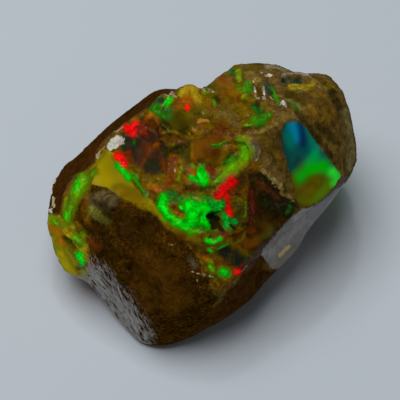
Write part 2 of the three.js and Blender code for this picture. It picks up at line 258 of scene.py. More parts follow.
# Tints, soft on the stone.
tintColours = {
    "olive": (0.15, 0.105, 0.002),
    "oliveDark": (0.075, 0.060, 0.002),
    "oliveGold": (0.22, 0.15, 0.002),
    "amberDark": (0.17, 0.058, 0.002),
    "amberOlive": (0.20, 0.115, 0.002),
    "amberRed": (0.15, 0.038, 0.002),
    "rust": (0.26, 0.075, 0.002),
    "topOrange": (0.29, 0.125, 0.003),
    "rustRed": (0.34, 0.060, 0.004),
    "orange": (0.50, 0.17, 0.003),
    "mustard": (0.38, 0.28, 0.003),
    "knob": (0.56, 0.36, 0.012),
    "tan": (0.27, 0.175, 0.03),
    "beige": (0.17, 0.10, 0.008),
    "hairy": (0.18, 0.115, 0.018),
    "greyBrown": (0.11, 0.082, 0.034),
    # a grey sheen: painted highlight on the rock
    "greySheen": (0.15, 0.115, 0.065),
    "brick": (0.22, 0.045, 0.002),
    "ember": (0.17, 0.040, 0.005),
    "umber": (0.085, 0.040, 0.003),
    "plum": (0.080, 0.030, 0.014),
    "slate": (0.030, 0.032, 0.012),
    "teal": (0.030, 0.075, 0.040),
    "fern": (0.13, 0.30, 0.004),
    "moss": (0.036, 0.030, 0.002),
    "night": (0.020, 0.025, 0.014),
    "lime": (0.24, 0.36, 0.002),
    "green": (0.05, 0.42, 0.003),
    "greenDeep": (0.02, 0.17, 0.010),
    "pinkHighlight": (0.32, 0.25, 0.17),
    "lichen": (0.22, 0.25, 0.06),
    "pale": (0.32, 0.27, 0.15),
    "eastGold": (0.22, 0.12, 0.012),
    "eastYellow": (0.48, 0.36, 0.02),
    "eastDark": (0.060, 0.040, 0.008),
    "eastRimLight": (0.30, 0.235, 0.08),
    "eastShade": (0.10, 0.062, 0.006),
    "honeyLow": (0.34, 0.215, 0.002),
    "rindWarm": (0.105, 0.042, 0.003),
    "rindShade": (0.045, 0.020, 0.002),
    "rindEdge": (0.20, 0.085, 0.003),
    "mound": (0.17, 0.12, 0.045),
    "moundShade": (0.055, 0.045, 0.018),
    "moundHighlight": (0.31, 0.27, 0.035),
    "tipLime": (0.26, 0.38, 0.003),
    "tipOrange": (0.58, 0.24, 0.002),
    "tipYellow": (0.66, 0.53, 0.006),
    "tipGrey": (0.42, 0.44, 0.24),
    "tipOlive": (0.13, 0.10, 0.002),
    "veil": (0.085, 0.060, 0.036),
    "paneEdge": (0.02, 0.085, 0.045),
    "paneTeal": (0.001, 0.115, 0.10),
    "paneBlue": (0.001, 0.23, 0.38),
    "paneSea": (0.001, 0.17, 0.12),
    "paneDeep": (0.004, 0.065, 0.055),
    "paneNavy": (0.002, 0.040, 0.13),
    "paneTurquoise": (0.002, 0.215, 0.14),
    "paneMint": (0.002, 0.36, 0.08),
    "paneShade": (0.012, 0.115, 0.07),
    "paneFern": (0.012, 0.28, 0.015),
    "paneGreen": (0.001, 0.50, 0.002),
    "paneYellow": (0.12, 0.13, 0.001),
    "paneMoss": (0.085, 0.165, 0.003),
    "paneGold": (0.13, 0.105, 0.001),
    "paneRust": (0.135, 0.085, 0.001),
    "paneBright": (0.03, 0.88, 0.04),
    "lavenderReflection": (0.17, 0.155, 0.17),
    "facetWarm": (0.19, 0.13, 0.06),
    "dome": (0.21, 0.078, 0.003),
}

# Flashes of the play of colour, which carry a painted glow, and crusts on top of them.
flashColours = {
    "green": (0.0, 0.62, 0.003),
    "greenBright": (0.0, 1.0, 0.01),
    "greenDim": (0.03, 0.22, 0.003),
    "greenSea": (0.0, 0.34, 0.02),
    "lime": (0.11, 0.36, 0.002),
    "limeDim": (0.09, 0.20, 0.002),
    "red": (0.90, 0.004, 0.003),
    "redBright": (1.0, 0.006, 0.003),
    "redDim": (0.20, 0.018, 0.004),
    "redDeep": (0.10, 0.012, 0.003),
    "orange": (0.34, 0.09, 0.003),
}
crustColours = {
    "white": (0.80, 0.77, 0.64),
    "crystal": (0.42, 0.37, 0.24),
    "cream": (0.60, 0.48, 0.26),
    "ochre": (0.44, 0.25, 0.03),
    "pinkHighlight": (0.42, 0.33, 0.24),
    "tan": (0.26, 0.17, 0.03),
    "mustard": (0.42, 0.31, 0.004),
    "crumb": (0.36, 0.265, 0.08),
    "crumbGold": (0.42, 0.27, 0.05),
    "fuzz": (0.21, 0.155, 0.045),
    "veil": (0.20, 0.17, 0.14),
    "glint": (0.85, 0.52, 0.16),
    # near black: painted shade in hollows
    "hollowShade": (0.026, 0.025, 0.003),
    "seam": (0.0, 0.42, 0.003),
}

# What lies on the stone, stroke by stroke, in the same frame: colour, points, half width.
tints = [
    # the upper left field, from the white patch to the knob on the crest
    ("oliveDark", [(150, 128), (168, 120), (186, 128), (176, 148)], 15),
    ("olive", [(190, 112), (203, 104), (206, 116)], 9),
    ("amberOlive", [(196, 98), (206, 98), (208, 108)], 6),
    ("greenDeep", [(156, 104), (166, 112)], 9),
    ("fern", [(159, 101), (166, 104), (171, 98)], 5),
    ("greenDeep", [(150, 108), (160, 112)], 4),
    ("teal", [(156, 103), (162, 99)], 2),
    ("lime", [(180, 94), (184, 90)], 3.6),
    ("knob", [(184, 96), (187, 89), (191, 86), (195, 91), (196, 101)], 6),
    ("orange", [(183, 100), (189, 99)], 4.4),
    ("rustRed", [(186, 102), (189, 105)], 3.4),
    ("orange", [(147, 119), (151, 115)], 4),
    ("orange", [(152, 117), (157, 119)], 3),
    ("rust", [(156, 120), (161, 127), (162, 134)], 4),
    ("amberRed", [(149, 123), (153, 131)], 6),
    ("moss", [(166, 122), (168, 128)], 4.6),
    ("plum", [(141, 138), (150, 138), (157, 136)], 9),
    ("plum", [(136, 146), (140, 156), (140, 166)], 6),
    ("slate", [(124, 140), (133, 142), (132, 149), (127, 153)], 8),
    ("greenDeep", [(133, 141), (133.5, 143)], 2),
    ("ember", [(147, 147), (150, 153), (158, 146)], 7),
    ("rust", [(155, 146), (159, 146)], 3.4),
    ("plum", [(162, 148), (155, 155)], 5),
    ("slate", [(147, 164), (156, 166)], 6),
    ("amberRed", [(163, 160), (165, 168)], 4.4),
    ("amberRed", [(128, 155), (132, 161)], 4),
    ("ember", [(142, 164), (145, 159)], 2.4),
    ("amberOlive", [(131, 168), (140, 178), (152, 182), (163, 178)], 8),
    ("lime", [(112, 156), (118, 166), (128, 178)], 1.8),
    ("green", [(133, 175), (136, 180)], 3.2),
    ("olive", [(147, 193), (139, 186)], 5),
    # the middle of the field
    ("oliveGold", [(165, 133), (174, 132), (183, 137)], 2.2),
    ("amberDark", [(171, 141), (177, 139), (182, 140)], 4),
    ("oliveGold", [(167, 146), (174, 144)], 2),
    ("moss", [(164, 149), (176, 150), (186, 147)], 5),
    ("rust", [(173, 157), (177, 160)], 5),
    ("amberOlive", [(180, 160), (184, 168), (179, 180)], 3),
    ("lime", [(182, 168), (177, 180)], 1.6),
    ("brick", [(174, 158), (171, 164), (170, 169)], 3.4),
    ("brick", [(171, 173), (169, 184)], 4),
    ("oliveDark", [(186, 152), (190, 162)], 5),
    ("oliveGold", [(188, 132), (192, 128), (196, 131), (201, 135)], 3.4),
    ("amberOlive", [(186, 137), (192, 138)], 3),
    ("amberRed", [(210, 140), (218, 134), (221, 126)], 8),
    ("dome", [(200, 148), (210, 146), (216, 150), (206, 157)], 12),
    ("rust", [(196, 154), (194, 160)], 5),
    ("oliveGold", [(193.5, 146), (192.5, 158)], 1.6),
    ("amberRed", [(210, 153), (217, 151)], 6),
    # painted shade beside the thin lime ridge
    ("greenDeep", [(213, 147), (220, 145.4), (226, 142.6)], 2),
    ("amberOlive", [(224, 150), (221, 162), (216, 176)], 4),
    ("rust", [(209, 170), (214, 171)], 4),
    ("orange", [(190, 170), (193, 174)], 3.4),
    ("olive", [(190, 194), (206, 191), (214, 187)], 6),
    ("amberDark", [(190, 188), (198, 186)], 4),
    ("oliveDark", [(200, 162), (208, 166)], 4),
    # the top, right of the notch
    ("olive", [(208, 88), (215, 82), (213, 95)], 7),
    ("olive", [(227, 73), (241, 68), (256, 66)], 5),
    ("topOrange", [(222, 82), (229, 83), (233, 93)], 7),
    ("rust", [(221, 79), (225, 81)], 3.4),
    ("oliveGold", [(226, 98), (227, 101)], 3.4),
    ("lime", [(204, 92), (208, 89)], 3),
    ("oliveDark", [(216, 98), (218, 106)], 4),
    ("green", [(213, 100), (215, 106)], 1.8),
    ("rustRed", [(211, 109), (212, 113)], 2.2),
    ("beige", [(216, 112), (228, 108), (238, 124)], 9),
    ("hairy", [(222, 112), (230, 117), (236, 124)], 5),
    ("amberOlive", [(238, 106), (246, 112), (245, 120)], 7),
    ("greenDeep", [(229, 72), (233, 71)], 3),
    ("lime", [(238, 71), (239, 79)], 3.6),
    ("fern", [(241, 88), (247, 91), (248, 84)], 6),
    ("greenDeep", [(250.5, 89), (251, 92)], 2.4),
    ("oliveGold", [(243, 99), (250, 98), (254, 101)], 3.4),
    ("lime", [(242, 98), (246, 95)], 2.4),
    ("rust", [(237, 96), (240, 95)], 2.6),
    ("slate", [(256, 106), (261, 110)], 5),
    ("greenDeep", [(253, 106), (258, 112), (262, 108)], 3),
    ("lime", [(252, 119), (255, 118)], 3.2),
    ("greenDeep", [(259, 121), (264, 119)], 4),
    ("tan", [(247, 76), (252, 74), (258, 80)], 5),
    ("umber", [(258, 91), (260, 96)], 3.6),
    ("umber", [(224, 131), (231, 134), (238, 138)], 2),
    ("umber", [(244, 128), (254, 128), (262, 126)], 2.4),
    ("tan", [(240, 136), (250, 140), (252, 148)], 5),
    # painted sheen: grey on the rock beside the spout
    ("greySheen", [(255, 144), (258, 150), (257, 157)], 4.4),
    ("teal", [(267, 85), (271, 90)], 4.4),
    ("oliveGold", [(269, 97), (273, 98)], 2.8),
    ("tan", [(277, 95), (287, 99), (296, 108)], 3),
    ("greenDeep", [(291, 103), (300, 110)], 2.4),
    ("lichen", [(289, 97), (298, 105), (306, 111)], 2.6),
    # round the great green flash
    ("greenDeep", [(166, 200), (168, 212), (180, 224), (198, 226), (208, 218), (206, 208), (190, 207)], 11),
    ("greenDeep", [(178, 224), (192, 231)], 7),
    ("amberOlive", [(176, 208), (181, 214)], 7),
    ("rust", [(173, 208), (181, 213)], 6.4),
    ("greenDeep", [(172, 193), (179, 199)], 5),
    ("greenDeep", [(216, 206), (222, 204)], 6),
    ("greenDeep", [(226, 218), (232, 222)], 6),
    # the open green spout and the lattice by it
    ("greenDeep", [(240, 138), (243, 142)], 2.6),
    ("lime", [(242, 144), (246, 152), (243, 161), (235, 167), (228, 172)], 10),
    ("oliveGold", [(239, 154), (236, 160), (230, 165)], 3),
    # painted shade in the groove inside the spout
    ("greenDeep", [(228, 161), (237, 156)], 3),
    ("topOrange", [(226, 147), (234, 145), (236, 150)], 4.4),
    ("lime", [(229, 170), (220, 180), (212, 184)], 2.6),
    ("tan", [(233, 176), (224, 186), (218, 192)], 2.4),
    ("olive", [(236, 202), (242, 220)], 8),
    ("oliveGold", [(234, 196), (242, 201), (245, 212)], 2),
    # the cavern and its ledge; the cavern's dark umber and moss are painted shade of the hollow
    ("umber", [(252, 176), (258, 190), (250, 200)], 5),
    ("moss", [(266, 203), (280, 207)], 10),
    ("ember", [(260, 184), (268, 190)], 4),
    ("rust", [(263, 183), (264, 185)], 2),
    ("ember", [(270, 192), (277, 197)], 4),
    ("greenDeep", [(291, 206), (287, 213)], 3),
    ("ember", [(250, 218), (252, 230)], 6),
    ("umber", [(257, 221), (268, 227)], 6),
    ("amberDark", [(238, 234), (248, 244), (258, 240)], 7),
    ("amberDark", [(236, 240), (246, 229)], 4),
    ("oliveDark", [(262, 238), (272, 228)], 5),
    ("oliveGold", [(236, 244), (243, 238), (245, 231)], 1.8),
    ("ember", [(203, 231), (209, 234)], 4),
    ("ember", [(221, 232), (226, 234)], 3.4),
    ("amberDark", [(180, 234), (192, 238), (204, 238)], 6),
    ("oliveGold", [(188, 238), (200, 240)], 3),
    ("greyBrown", [(190, 258), (195, 266)], 5),
    ("umber", [(196, 248), (206, 252)], 5),
    ("night", [(224, 251), (234, 257), (242, 262)], 9),
    ("orange", [(204, 258), (210, 261)], 3.6),
    ("lime", [(210, 263), (213, 272)], 4.6),
    ("oliveGold", [(206, 268), (213, 278), (219, 283)], 4),
    ("orange", [(218, 284), (219, 286)], 1.8),
    # the honey face, its lip, the rind
    ("mustard", [(92, 170), (99, 160), (105, 150)], 2.4),
    ("honeyLow", [(119, 190), (132, 196), (145, 204)], 8),
    ("mustard", [(146, 200), (156, 211), (166, 221)], 5),
    ("oliveGold", [(166, 224), (178, 231)], 4),
    ("orange", [(150, 187), (160, 190)], 4),
    ("rindEdge", [(88, 195), (84, 210), (88, 222)], 5),
    ("mound", [(97, 199), (106, 196), (112, 201)], 9),
    # painted shade under the mound's dome
    ("moundShade", [(94, 203), (99, 207), (110, 209)], 3.4),
    ("mound", [(92, 205), (95, 213)], 3.4),
    # painted highlight on the ridge below the mound
    ("moundHighlight", [(92, 211), (99, 216), (106, 220)], 6.4),
    ("rindShade", [(88, 229), (106, 231)], 4),
    ("rindShade", [(124, 222), (132, 232), (150, 228)], 12),
    ("rindShade", [(112, 256), (104, 250)], 9),
    ("rindWarm", [(150, 262), (168, 280), (178, 300)], 22),
    ("rindWarm", [(136, 286), (150, 304)], 12),
    # the tip and the green band above it; the tip's bright yellow and orange are its own colours lifted by a
    # painted glow, as of light through the thin stone
    ("tipLime", [(50, 216), (57, 224)], 5.5),
    ("tipOrange", [(54, 229), (64, 233), (61, 243)], 7),
    ("tipLime", [(56, 248), (61, 257)], 5),
    ("tipYellow", [(60, 256), (67, 267), (73, 274)], 7),
    ("tipGrey", [(64, 275), (80, 279)], 3.4),
    ("tipOlive", [(65, 238), (71, 247), (76, 254)], 4.6),
    ("tipYellow", [(62, 222), (68, 234), (77, 240)], 1.2),
    ("tipLime", [(76, 236), (82, 243)], 5),
    ("lime", [(82, 234), (88, 239)], 4),
    ("ember", [(89, 240), (98, 246)], 5),
    ("ember", [(78, 268), (92, 264), (104, 272)], 3.4),
    ("lime", [(66, 200), (65, 212)], 4),
    # the window, painted only inside it
    ("paneYellow", [(300, 200), (312, 202), (324, 194)], 10),
    ("paneMoss", [(318, 198), (326, 188), (329, 178)], 9),
    ("paneRust", [(297, 188), (306, 190), (312, 187)], 7),
    ("paneGold", [(304, 195), (312, 191)], 6),
    ("paneSea", [(288, 134), (304, 145), (320, 158)], 19),
    ("paneTeal", [(284, 126), (289, 142), (295, 158)], 17),
    ("paneTeal", [(296, 126), (300, 140), (304, 150)], 11),
    ("paneTurquoise", [(305, 126), (313, 141), (321, 154)], 9),
    ("paneBlue", [(293, 126), (296, 139)], 8),
    ("paneSea", [(288, 136), (292, 147)], 6),
    ("paneDeep", [(282, 147), (287, 158), (291, 170)], 7),
    ("paneDeep", [(298, 159), (294, 167)], 5),
    ("paneEdge", [(281, 130), (282, 142)], 3),
    ("paneNavy", [(300.5, 122), (303, 134), (303.5, 144)], 6),
    ("paneMint", [(316, 154), (309, 163)], 7),
    ("paneFern", [(324, 165), (332, 174)], 7),
    # painted shade: a dark strip along the window's right edge
    ("paneShade", [(323, 152), (331, 163), (338, 171)], 6),
    ("paneGreen", [(300, 177), (307, 171), (315, 168), (323, 167)], 11),
    ("paneBright", [(333, 172), (338, 177), (336, 184)], 8),
    # the east side and the slit
    ("eastGold", [(312, 110), (322, 124), (330, 110)], 12),
    ("eastShade", [(264, 134), (272, 149)], 8),
    ("tan", [(254, 133), (264, 129), (276, 124)], 3),
    ("eastShade", [(288, 94), (302, 100)], 5),
    ("eastGold", [(310, 92), (324, 96)], 6),
    ("eastDark", [(297, 112), (309, 127), (321, 143), (332, 157)], 3),
    ("eastDark", [(331, 93), (335, 100), (340, 110)], 4.4),
    ("eastDark", [(317, 125), (327, 133), (337, 142)], 5),
    # painted rim light: a pale band along the stone's right outline
    ("eastRimLight", [(347, 112), (351, 130), (353, 148), (350, 166)], 7),
    ("eastGold", [(276, 152), (284, 167)], 5),
    ("pale", [(266, 66), (276, 66), (286, 69)], 3.6),
    ("eastYellow", [(291, 86), (302, 86.5), (312, 84)], 5),
    ("teal", [(284, 80.5), (300, 80.5)], 3),
    # painted highlight: the lit rim of the slit
    ("pinkHighlight", [(282, 77), (296, 75), (311, 76)], 1.6),
    # painted highlight along the ridge running down from the slit
    ("tan", [(311, 76), (316, 82), (328, 90)], 2),
    # a painted glint
    ("oliveGold", [(327, 84), (333, 87)], 3),
    ("tan", [(341, 170), (343, 175)], 3),
    # the facets and what is under them
    ("umber", [(243, 272), (256, 262), (268, 266)], 7),
    ("ember", [(246, 268), (254, 262)], 4),
    ("amberDark", [(264, 268), (280, 266), (292, 260)], 4),
    ("veil", [(248, 264), (260, 250), (276, 238), (290, 222)], 5),
    # painted reflection: a lavender tint on the pale facet's upper arm
    ("lavenderReflection", [(345, 181), (328, 198), (312, 214)], 7),
    ("facetWarm", [(272, 264), (284, 258), (294, 250)], 8),
]
flashes = [
    ("green", [(166, 104), (169, 98)], 3),
    ("greenDim", [(155, 111), (163, 114)], 3),
    ("greenDim", [(157, 105), (153, 110)], 2.4),
    ("redBright", [(186.4, 107), (188, 109)], 2.2),
    ("orange", [(184, 101), (189, 104)], 4),
    ("red", [(127, 128), (134, 132)], 4.4),
    ("red", [(132, 130), (137, 123)], 3),
    ("redDim", [(142, 126), (143, 131)], 4.8),
    ("redBright", [(117, 157), (122, 158), (124, 164)], 4),
    ("red", [(124, 160), (125, 165)], 3),
    ("redDim", [(127, 153), (130, 151)], 2),
    ("green", [(118, 165.5), (123, 171), (128.5, 178)], 3.2),
    ("greenBright", [(120, 168), (126, 175)], 2.4),
    ("greenDim", [(133, 177), (139, 185)], 2.4),
    ("greenDim", [(139, 185), (147, 197)], 1.5),
    ("orange", [(157, 189), (161, 191)], 2.6),
    ("orange", [(199, 121), (203, 120), (209, 121)], 1.8),
    ("orange", [(192, 129), (196, 131)], 1.8),
    # painted highlight along the thin ridge above the dome
    ("lime", [(212.5, 145.6), (219, 144), (225, 141.2)], 0.6),
    ("lime", [(191.5, 165), (194, 168)], 1.8),
    ("orange", [(191, 169), (194, 174)], 3.4),
    ("green", [(202, 170), (204, 176), (204, 182)], 4),
    ("green", [(192, 177), (198, 180), (204, 183)], 3.4),
    ("greenBright", [(201, 174), (202, 181)], 3),
    ("redDim", [(208, 168), (212, 171)], 2.4),
    ("lime", [(245, 147), (246, 156)], 5.4),
    ("lime", [(230, 168), (234, 164)], 4.4),
    # painted shade in the same groove, a dim green
    ("greenDim", [(227, 161), (233, 158)], 2.4),
    ("lime", [(222, 176), (215, 182)], 1.6),
    ("green", [(164, 198), (162, 206), (167, 216)], 4.8),
    ("greenBright", [(163, 202), (167, 214)], 3.4),
    ("green", [(168, 216), (176, 221), (186, 227)], 4.4),
    ("greenBright", [(180, 208), (180.5, 208.5)], 2),
    ("lime", [(173, 218), (178, 221)], 1.6),
    ("green", [(189, 207), (193, 213), (191, 223)], 8.4),
    ("green", [(198, 206), (206, 209), (206, 222)], 8),
    ("greenBright", [(188, 207), (193, 215)], 5),
    ("greenBright", [(199, 209), (204, 207)], 3),
    ("greenBright", [(205, 213), (205, 222)], 3),
    ("green", [(184, 224), (192, 230)], 5),
    ("lime", [(188, 230), (198, 231)], 3.4),
    ("greenDim", [(194, 229), (202, 228)], 3),
    ("greenSea", [(212, 202), (220, 204), (216, 210)], 5.4),
    ("green", [(216, 206), (220, 210)], 2.4),
    ("green", [(212, 203), (216, 202)], 2.6),
    ("green", [(219, 208), (222, 206)], 2),
    ("greenSea", [(224, 216), (227, 220), (228, 227)], 4),
    ("green", [(225, 216), (227, 219)], 2),
    ("greenSea", [(235, 221), (236, 222)], 2.8),
    ("limeDim", [(245, 202), (246, 209), (243, 216)], 1.2),
    ("orange", [(175, 212), (181, 215)], 2.4),
    ("green", [(207, 240), (214, 242), (220, 239)], 2.4),
    ("lime", [(211, 241.5), (218, 240.5)], 1.4),
    ("greenDim", [(220, 247.5), (226, 243.5), (231, 241)], 1.1),
    ("green", [(209, 250), (210.5, 250.5)], 1.8),
    ("greenDim", [(215, 250), (221, 247)], 1.2),
    ("redDim", [(222, 232), (226, 234)], 2.4),
    ("red", [(233.5, 181), (229, 186)], 4),
    ("redBright", [(232, 182), (229, 186)], 2.8),
    ("red", [(227, 187), (222, 191)], 3.2),
    ("red", [(224, 190), (217, 197)], 4.4),
    ("redBright", [(222, 192), (218, 196)], 4.4),
    ("redDim", [(227, 191), (233, 193)], 2.8),
    ("red", [(226.5, 195), (227, 201)], 2.4),
    ("red", [(228, 207), (230, 214)], 3),
    ("redBright", [(229, 208), (230, 213)], 2.6),
    ("redDeep", [(251, 192), (252, 204), (253, 214)], 3.2),
    ("green", [(223, 272), (225.5, 273)], 4.6),
    ("greenBright", [(223.5, 272), (225, 273)], 4),
    ("lime", [(210, 266), (212, 270)], 2.6),
    ("redBright", [(236, 272), (237.5, 271)], 3),
    ("redDim", [(240, 267), (242, 265)], 1.8),
    ("limeDim", [(96, 171), (90, 176), (86, 180)], 3),
    ("lime", [(84, 179), (80, 187), (76, 195)], 6),
    ("green", [(80, 182), (78, 187), (76, 192)], 4.2),
    ("limeDim", [(75, 196), (71, 206), (67, 221)], 5),
    ("green", [(71, 206), (68, 218)], 2),
    ("green", [(67, 213), (66, 220)], 2.2),
    ("lime", [(76, 237), (82, 243)], 2.6),
    ("green", [(79, 255), (82, 262)], 3.8),
    ("greenBright", [(80, 256), (81.5, 260)], 2.6),
    ("lime", [(54, 220), (57, 224)], 2),
    ("greenDim", [(272, 88), (275, 93), (278, 101)], 1.8),
    ("greenDim", [(255, 121), (263, 118.5)], 4.6),
    ("lime", [(254, 119), (255, 118.5)], 1.8),
    ("greenDim", [(266, 116), (269, 114.4)], 2),
    ("lime", [(244, 126), (251, 124.4)], 1),
    ("greenDim", [(247, 84), (248.5, 90)], 2),
]
crusts = [
    # painted highlight along the slit's upper rim
    ("pinkHighlight", [(284, 76.5), (297, 75)], 0.7),
    ("pinkHighlight", [(300, 75), (311, 76)], 1.3),
    ("tan", [(259.5, 150), (258.8, 157.5), (252, 166), (244.5, 173)], 0.9),
    ("tan", [(242, 168), (229, 176), (213, 191)], 1.0),
    ("mustard", [(187, 87), (191, 85), (195, 89), (197, 97)], 1.1),
    ("white", [(110, 147), (114, 142), (119, 138), (121, 141), (114, 146)], 3.8),
    # painted highlights: glints on the crest's edge
    ("pinkHighlight", [(114, 132), (119, 130), (124, 127)], 1),
    ("white", [(282.4, 105), (284, 106.6)], 3),
    ("cream", [(253.5, 81), (253.7, 83)], 1.4),
    ("crystal", [(254, 88), (254.5, 89)], 1.3),
    ("white", [(255.5, 92), (255.6, 93.5)], 1.3),
    ("crystal", [(254.4, 96), (255, 96.5)], 1),
    ("crystal", [(258.5, 98), (259, 98.4)], 1.1),
    ("crystal", [(263, 87.5), (263.4, 89)], 1.6),
    ("white", [(264.5, 92), (264.6, 93.6)], 2),
    ("crystal", [(263.4, 97), (264, 98)], 1.7),
    ("crystal", [(260.4, 72.4), (261.5, 73.4)], 1.1),
    ("crystal", [(265, 75.6), (266.6, 76)], 1.3),
    ("white", [(269, 75), (271, 76)], 1.8),
    ("cream", [(271, 97), (273, 98)], 1.6),
    ("white", [(203, 89), (203.5, 89.5)], 1.2),
    ("cream", [(212, 91), (213, 91)], 1.2),
    # painted highlights on the crest: its lit rim, and a thin bright line with a pink end
    ("pinkHighlight", [(172, 93), (176, 96)], 1.3),
    ("cream", [(161, 108), (169, 97)], 0.55),
    ("pinkHighlight", [(166, 95.5), (169, 96.5)], 0.9),
    # a painted glint
    ("crumb", [(203, 112.5), (203.5, 113.5)], 1.2),
    ("fuzz", [(169, 243), (170, 246)], 1),
    ("fuzz", [(172, 250), (172.5, 251)], 1),
    # a painted glint
    ("cream", [(175, 170), (175, 172)], 1.2),
    ("ochre", [(198, 122), (201, 120), (209, 120.5)], 1.5),
    ("ochre", [(187, 132), (189, 134)], 1.2),
    ("crumbGold", [(192.5, 128), (194, 130)], 1.4),
    ("ochre", [(193, 198.5), (197, 197.5), (201, 200)], 1.3),
    ("cream", [(192, 272), (194, 272)], 1.2),
    ("cream", [(197, 273), (199, 274)], 1),
    ("cream", [(203, 274), (204, 275)], 1.1),
    ("cream", [(209, 276.5), (213, 277.5)], 0.9),
    ("cream", [(198, 280), (198, 281)], 0.9),
    # painted highlights along the crest above the honey face, and two glints on the green band
    ("cream", [(98, 158), (99, 153), (104, 147)], 1),
    ("cream", [(83, 179), (83.5, 179.5)], 1),
    ("cream", [(78, 191), (78.4, 191.5)], 1),
    # painted highlights: the bright strip along the flank's left rim
    ("white", [(54, 178), (54, 183)], 1.5),
    ("white", [(51.5, 191), (52, 193)], 1.4),
    ("cream", [(53, 198), (54, 207)], 1.6),
    ("white", [(50.5, 210), (51.5, 212)], 1.4),
    ("crumb", [(262.5, 170), (265, 172)], 2.4),
    ("crumb", [(268, 175), (271, 178)], 2),
    ("crumb", [(273, 179), (276, 183)], 2.8),
    ("crumbGold", [(278, 185), (281, 189)], 3),
    ("crumbGold", [(281, 193), (286, 195), (290, 198)], 2.6),
    ("veil", [(241, 272), (250, 262), (264, 250)], 0.6),
    ("glint", [(280, 256), (285, 250), (289, 246)], 2.4),
    # painted shade, near black, in the pit in the great green and beside it
    ("hollowShade", [(210, 217), (216, 220), (215, 226)], 5),
    ("hollowShade", [(218, 225), (222, 230)], 3.4),
    ("hollowShade", [(214, 213), (220, 212)], 1.4),
    ("seam", [(201, 213), (199, 222)], 1.6),
    ("hollowShade", [(231, 225), (234, 228)], 2),
    # painted shade in the cavern
    ("hollowShade", [(262, 176), (266, 182)], 1.6),
    ("hollowShade", [(288, 202), (295, 206)], 1.2),
]

# Where the opal is clear and smooth under its gloss.
polish = [
    ([(200, 150), (214, 150)], 13),
    ([(245, 145), (248, 154), (240, 166), (229, 173)], 7),
    ([(51, 216), (57, 240), (62, 262), (74, 276)], 13),
    ([(86, 178), (79, 188), (67, 220)], 8),
    ([(190, 90), (192, 98)], 8),
    ([(222, 84), (230, 92)], 9),
    ([(130, 146), (142, 154), (154, 166)], 12),
    ([(240, 258), (226, 252)], 10),
    ([(172, 118), (186, 124)], 10),
    ([(246, 242), (262, 232)], 12),
    ([(152, 212), (170, 228), (196, 238)], 7),
]

# Forms raised (+) or sunk (-) on the skin: height in mm, points and half width in the frame.
carving = [
    (0.35, [(183, 92), (190, 87), (196, 93), (195, 103)], 6),
    (-0.5, [(166, 114), (176, 126), (186, 134)], 10),
    (0.3, [(157, 102), (163, 97), (169, 96), (163, 108)], 2.2),
    (-0.4, [(160, 102), (163, 101)], 3),
    (0.35, [(155, 117), (162, 124), (162, 134)], 4),
    (0.3, [(165, 133), (174, 132), (184, 138)], 2.4),
    (-0.3, [(164, 149), (176, 150), (186, 147)], 6),
    (0.5, [(198, 150), (210, 150)], 16),
    (0.6, [(236, 141), (247, 141), (252, 149), (252, 161), (243, 170), (232, 178), (217, 193)], 3.4),
    (-0.4, [(235, 152), (229, 161)], 5),
    (0.25, [(212, 146), (226, 141)], 1.8),
    (0.35, [(199, 170), (203, 182)], 6),
    (-1.0, [(212, 218), (217, 225)], 8),
    (-0.6, [(174, 210), (181, 214)], 6),
    (0.4, [(165, 196), (162, 207), (169, 218)], 5),
    (0.4, [(188, 204), (194, 214), (193, 223)], 7),
    (0.35, [(202, 204), (206, 221)], 5),
    (0.2, [(206, 241), (214, 243), (222, 239)], 3.4),
    (0.15, [(208, 250), (218, 248), (231, 241)], 3),
    (0.25, [(226, 236), (238, 232), (246, 226)], 1.8),
    (0.4, [(234, 198), (243, 207), (245, 220)], 5),
    (-0.5, [(186, 191), (200, 192), (211, 188)], 6),
    (0.3, [(262, 169), (275, 181), (290, 196)], 3.6),
    (-0.7, [(284, 80.5), (300, 80.5), (311, 82)], 3),
    (0.4, [(281, 77), (296, 75), (308, 76.5)], 2.6),
    (0.3, [(316, 82), (322, 88), (330, 91), (338, 92)], 2.4),
    (-0.4, [(267, 89), (273, 95), (279, 103)], 3),
    (-0.35, [(296, 104), (302, 107), (308, 112)], 2.4),
    (-0.4, [(222, 124), (236, 130), (250, 132)], 4),
    (0.7, [(99, 199), (106, 197), (111, 202)], 11),
    (0.25, [(95, 212), (102, 217), (108, 215)], 8),
    (-0.3, [(92, 225), (108, 226)], 5),
    (0.5, [(62, 222), (70, 236), (80, 242)], 3),
    (-0.5, [(66, 240), (74, 250)], 4.5),
    (0.4, [(112, 142), (119, 140)], 6),
    (0.6, [(283, 104), (283, 108)], 3.5),
    (0.35, [(152, 188), (160, 192)], 6),
    (0.2, [(170, 157), (167, 181)], 5),
    (0.2, [(185, 159), (175, 181)], 4),
    (-0.3, [(126, 144), (138, 150)], 10),
    (-0.35, [(297, 112), (309, 127), (321, 143)], 3),
]

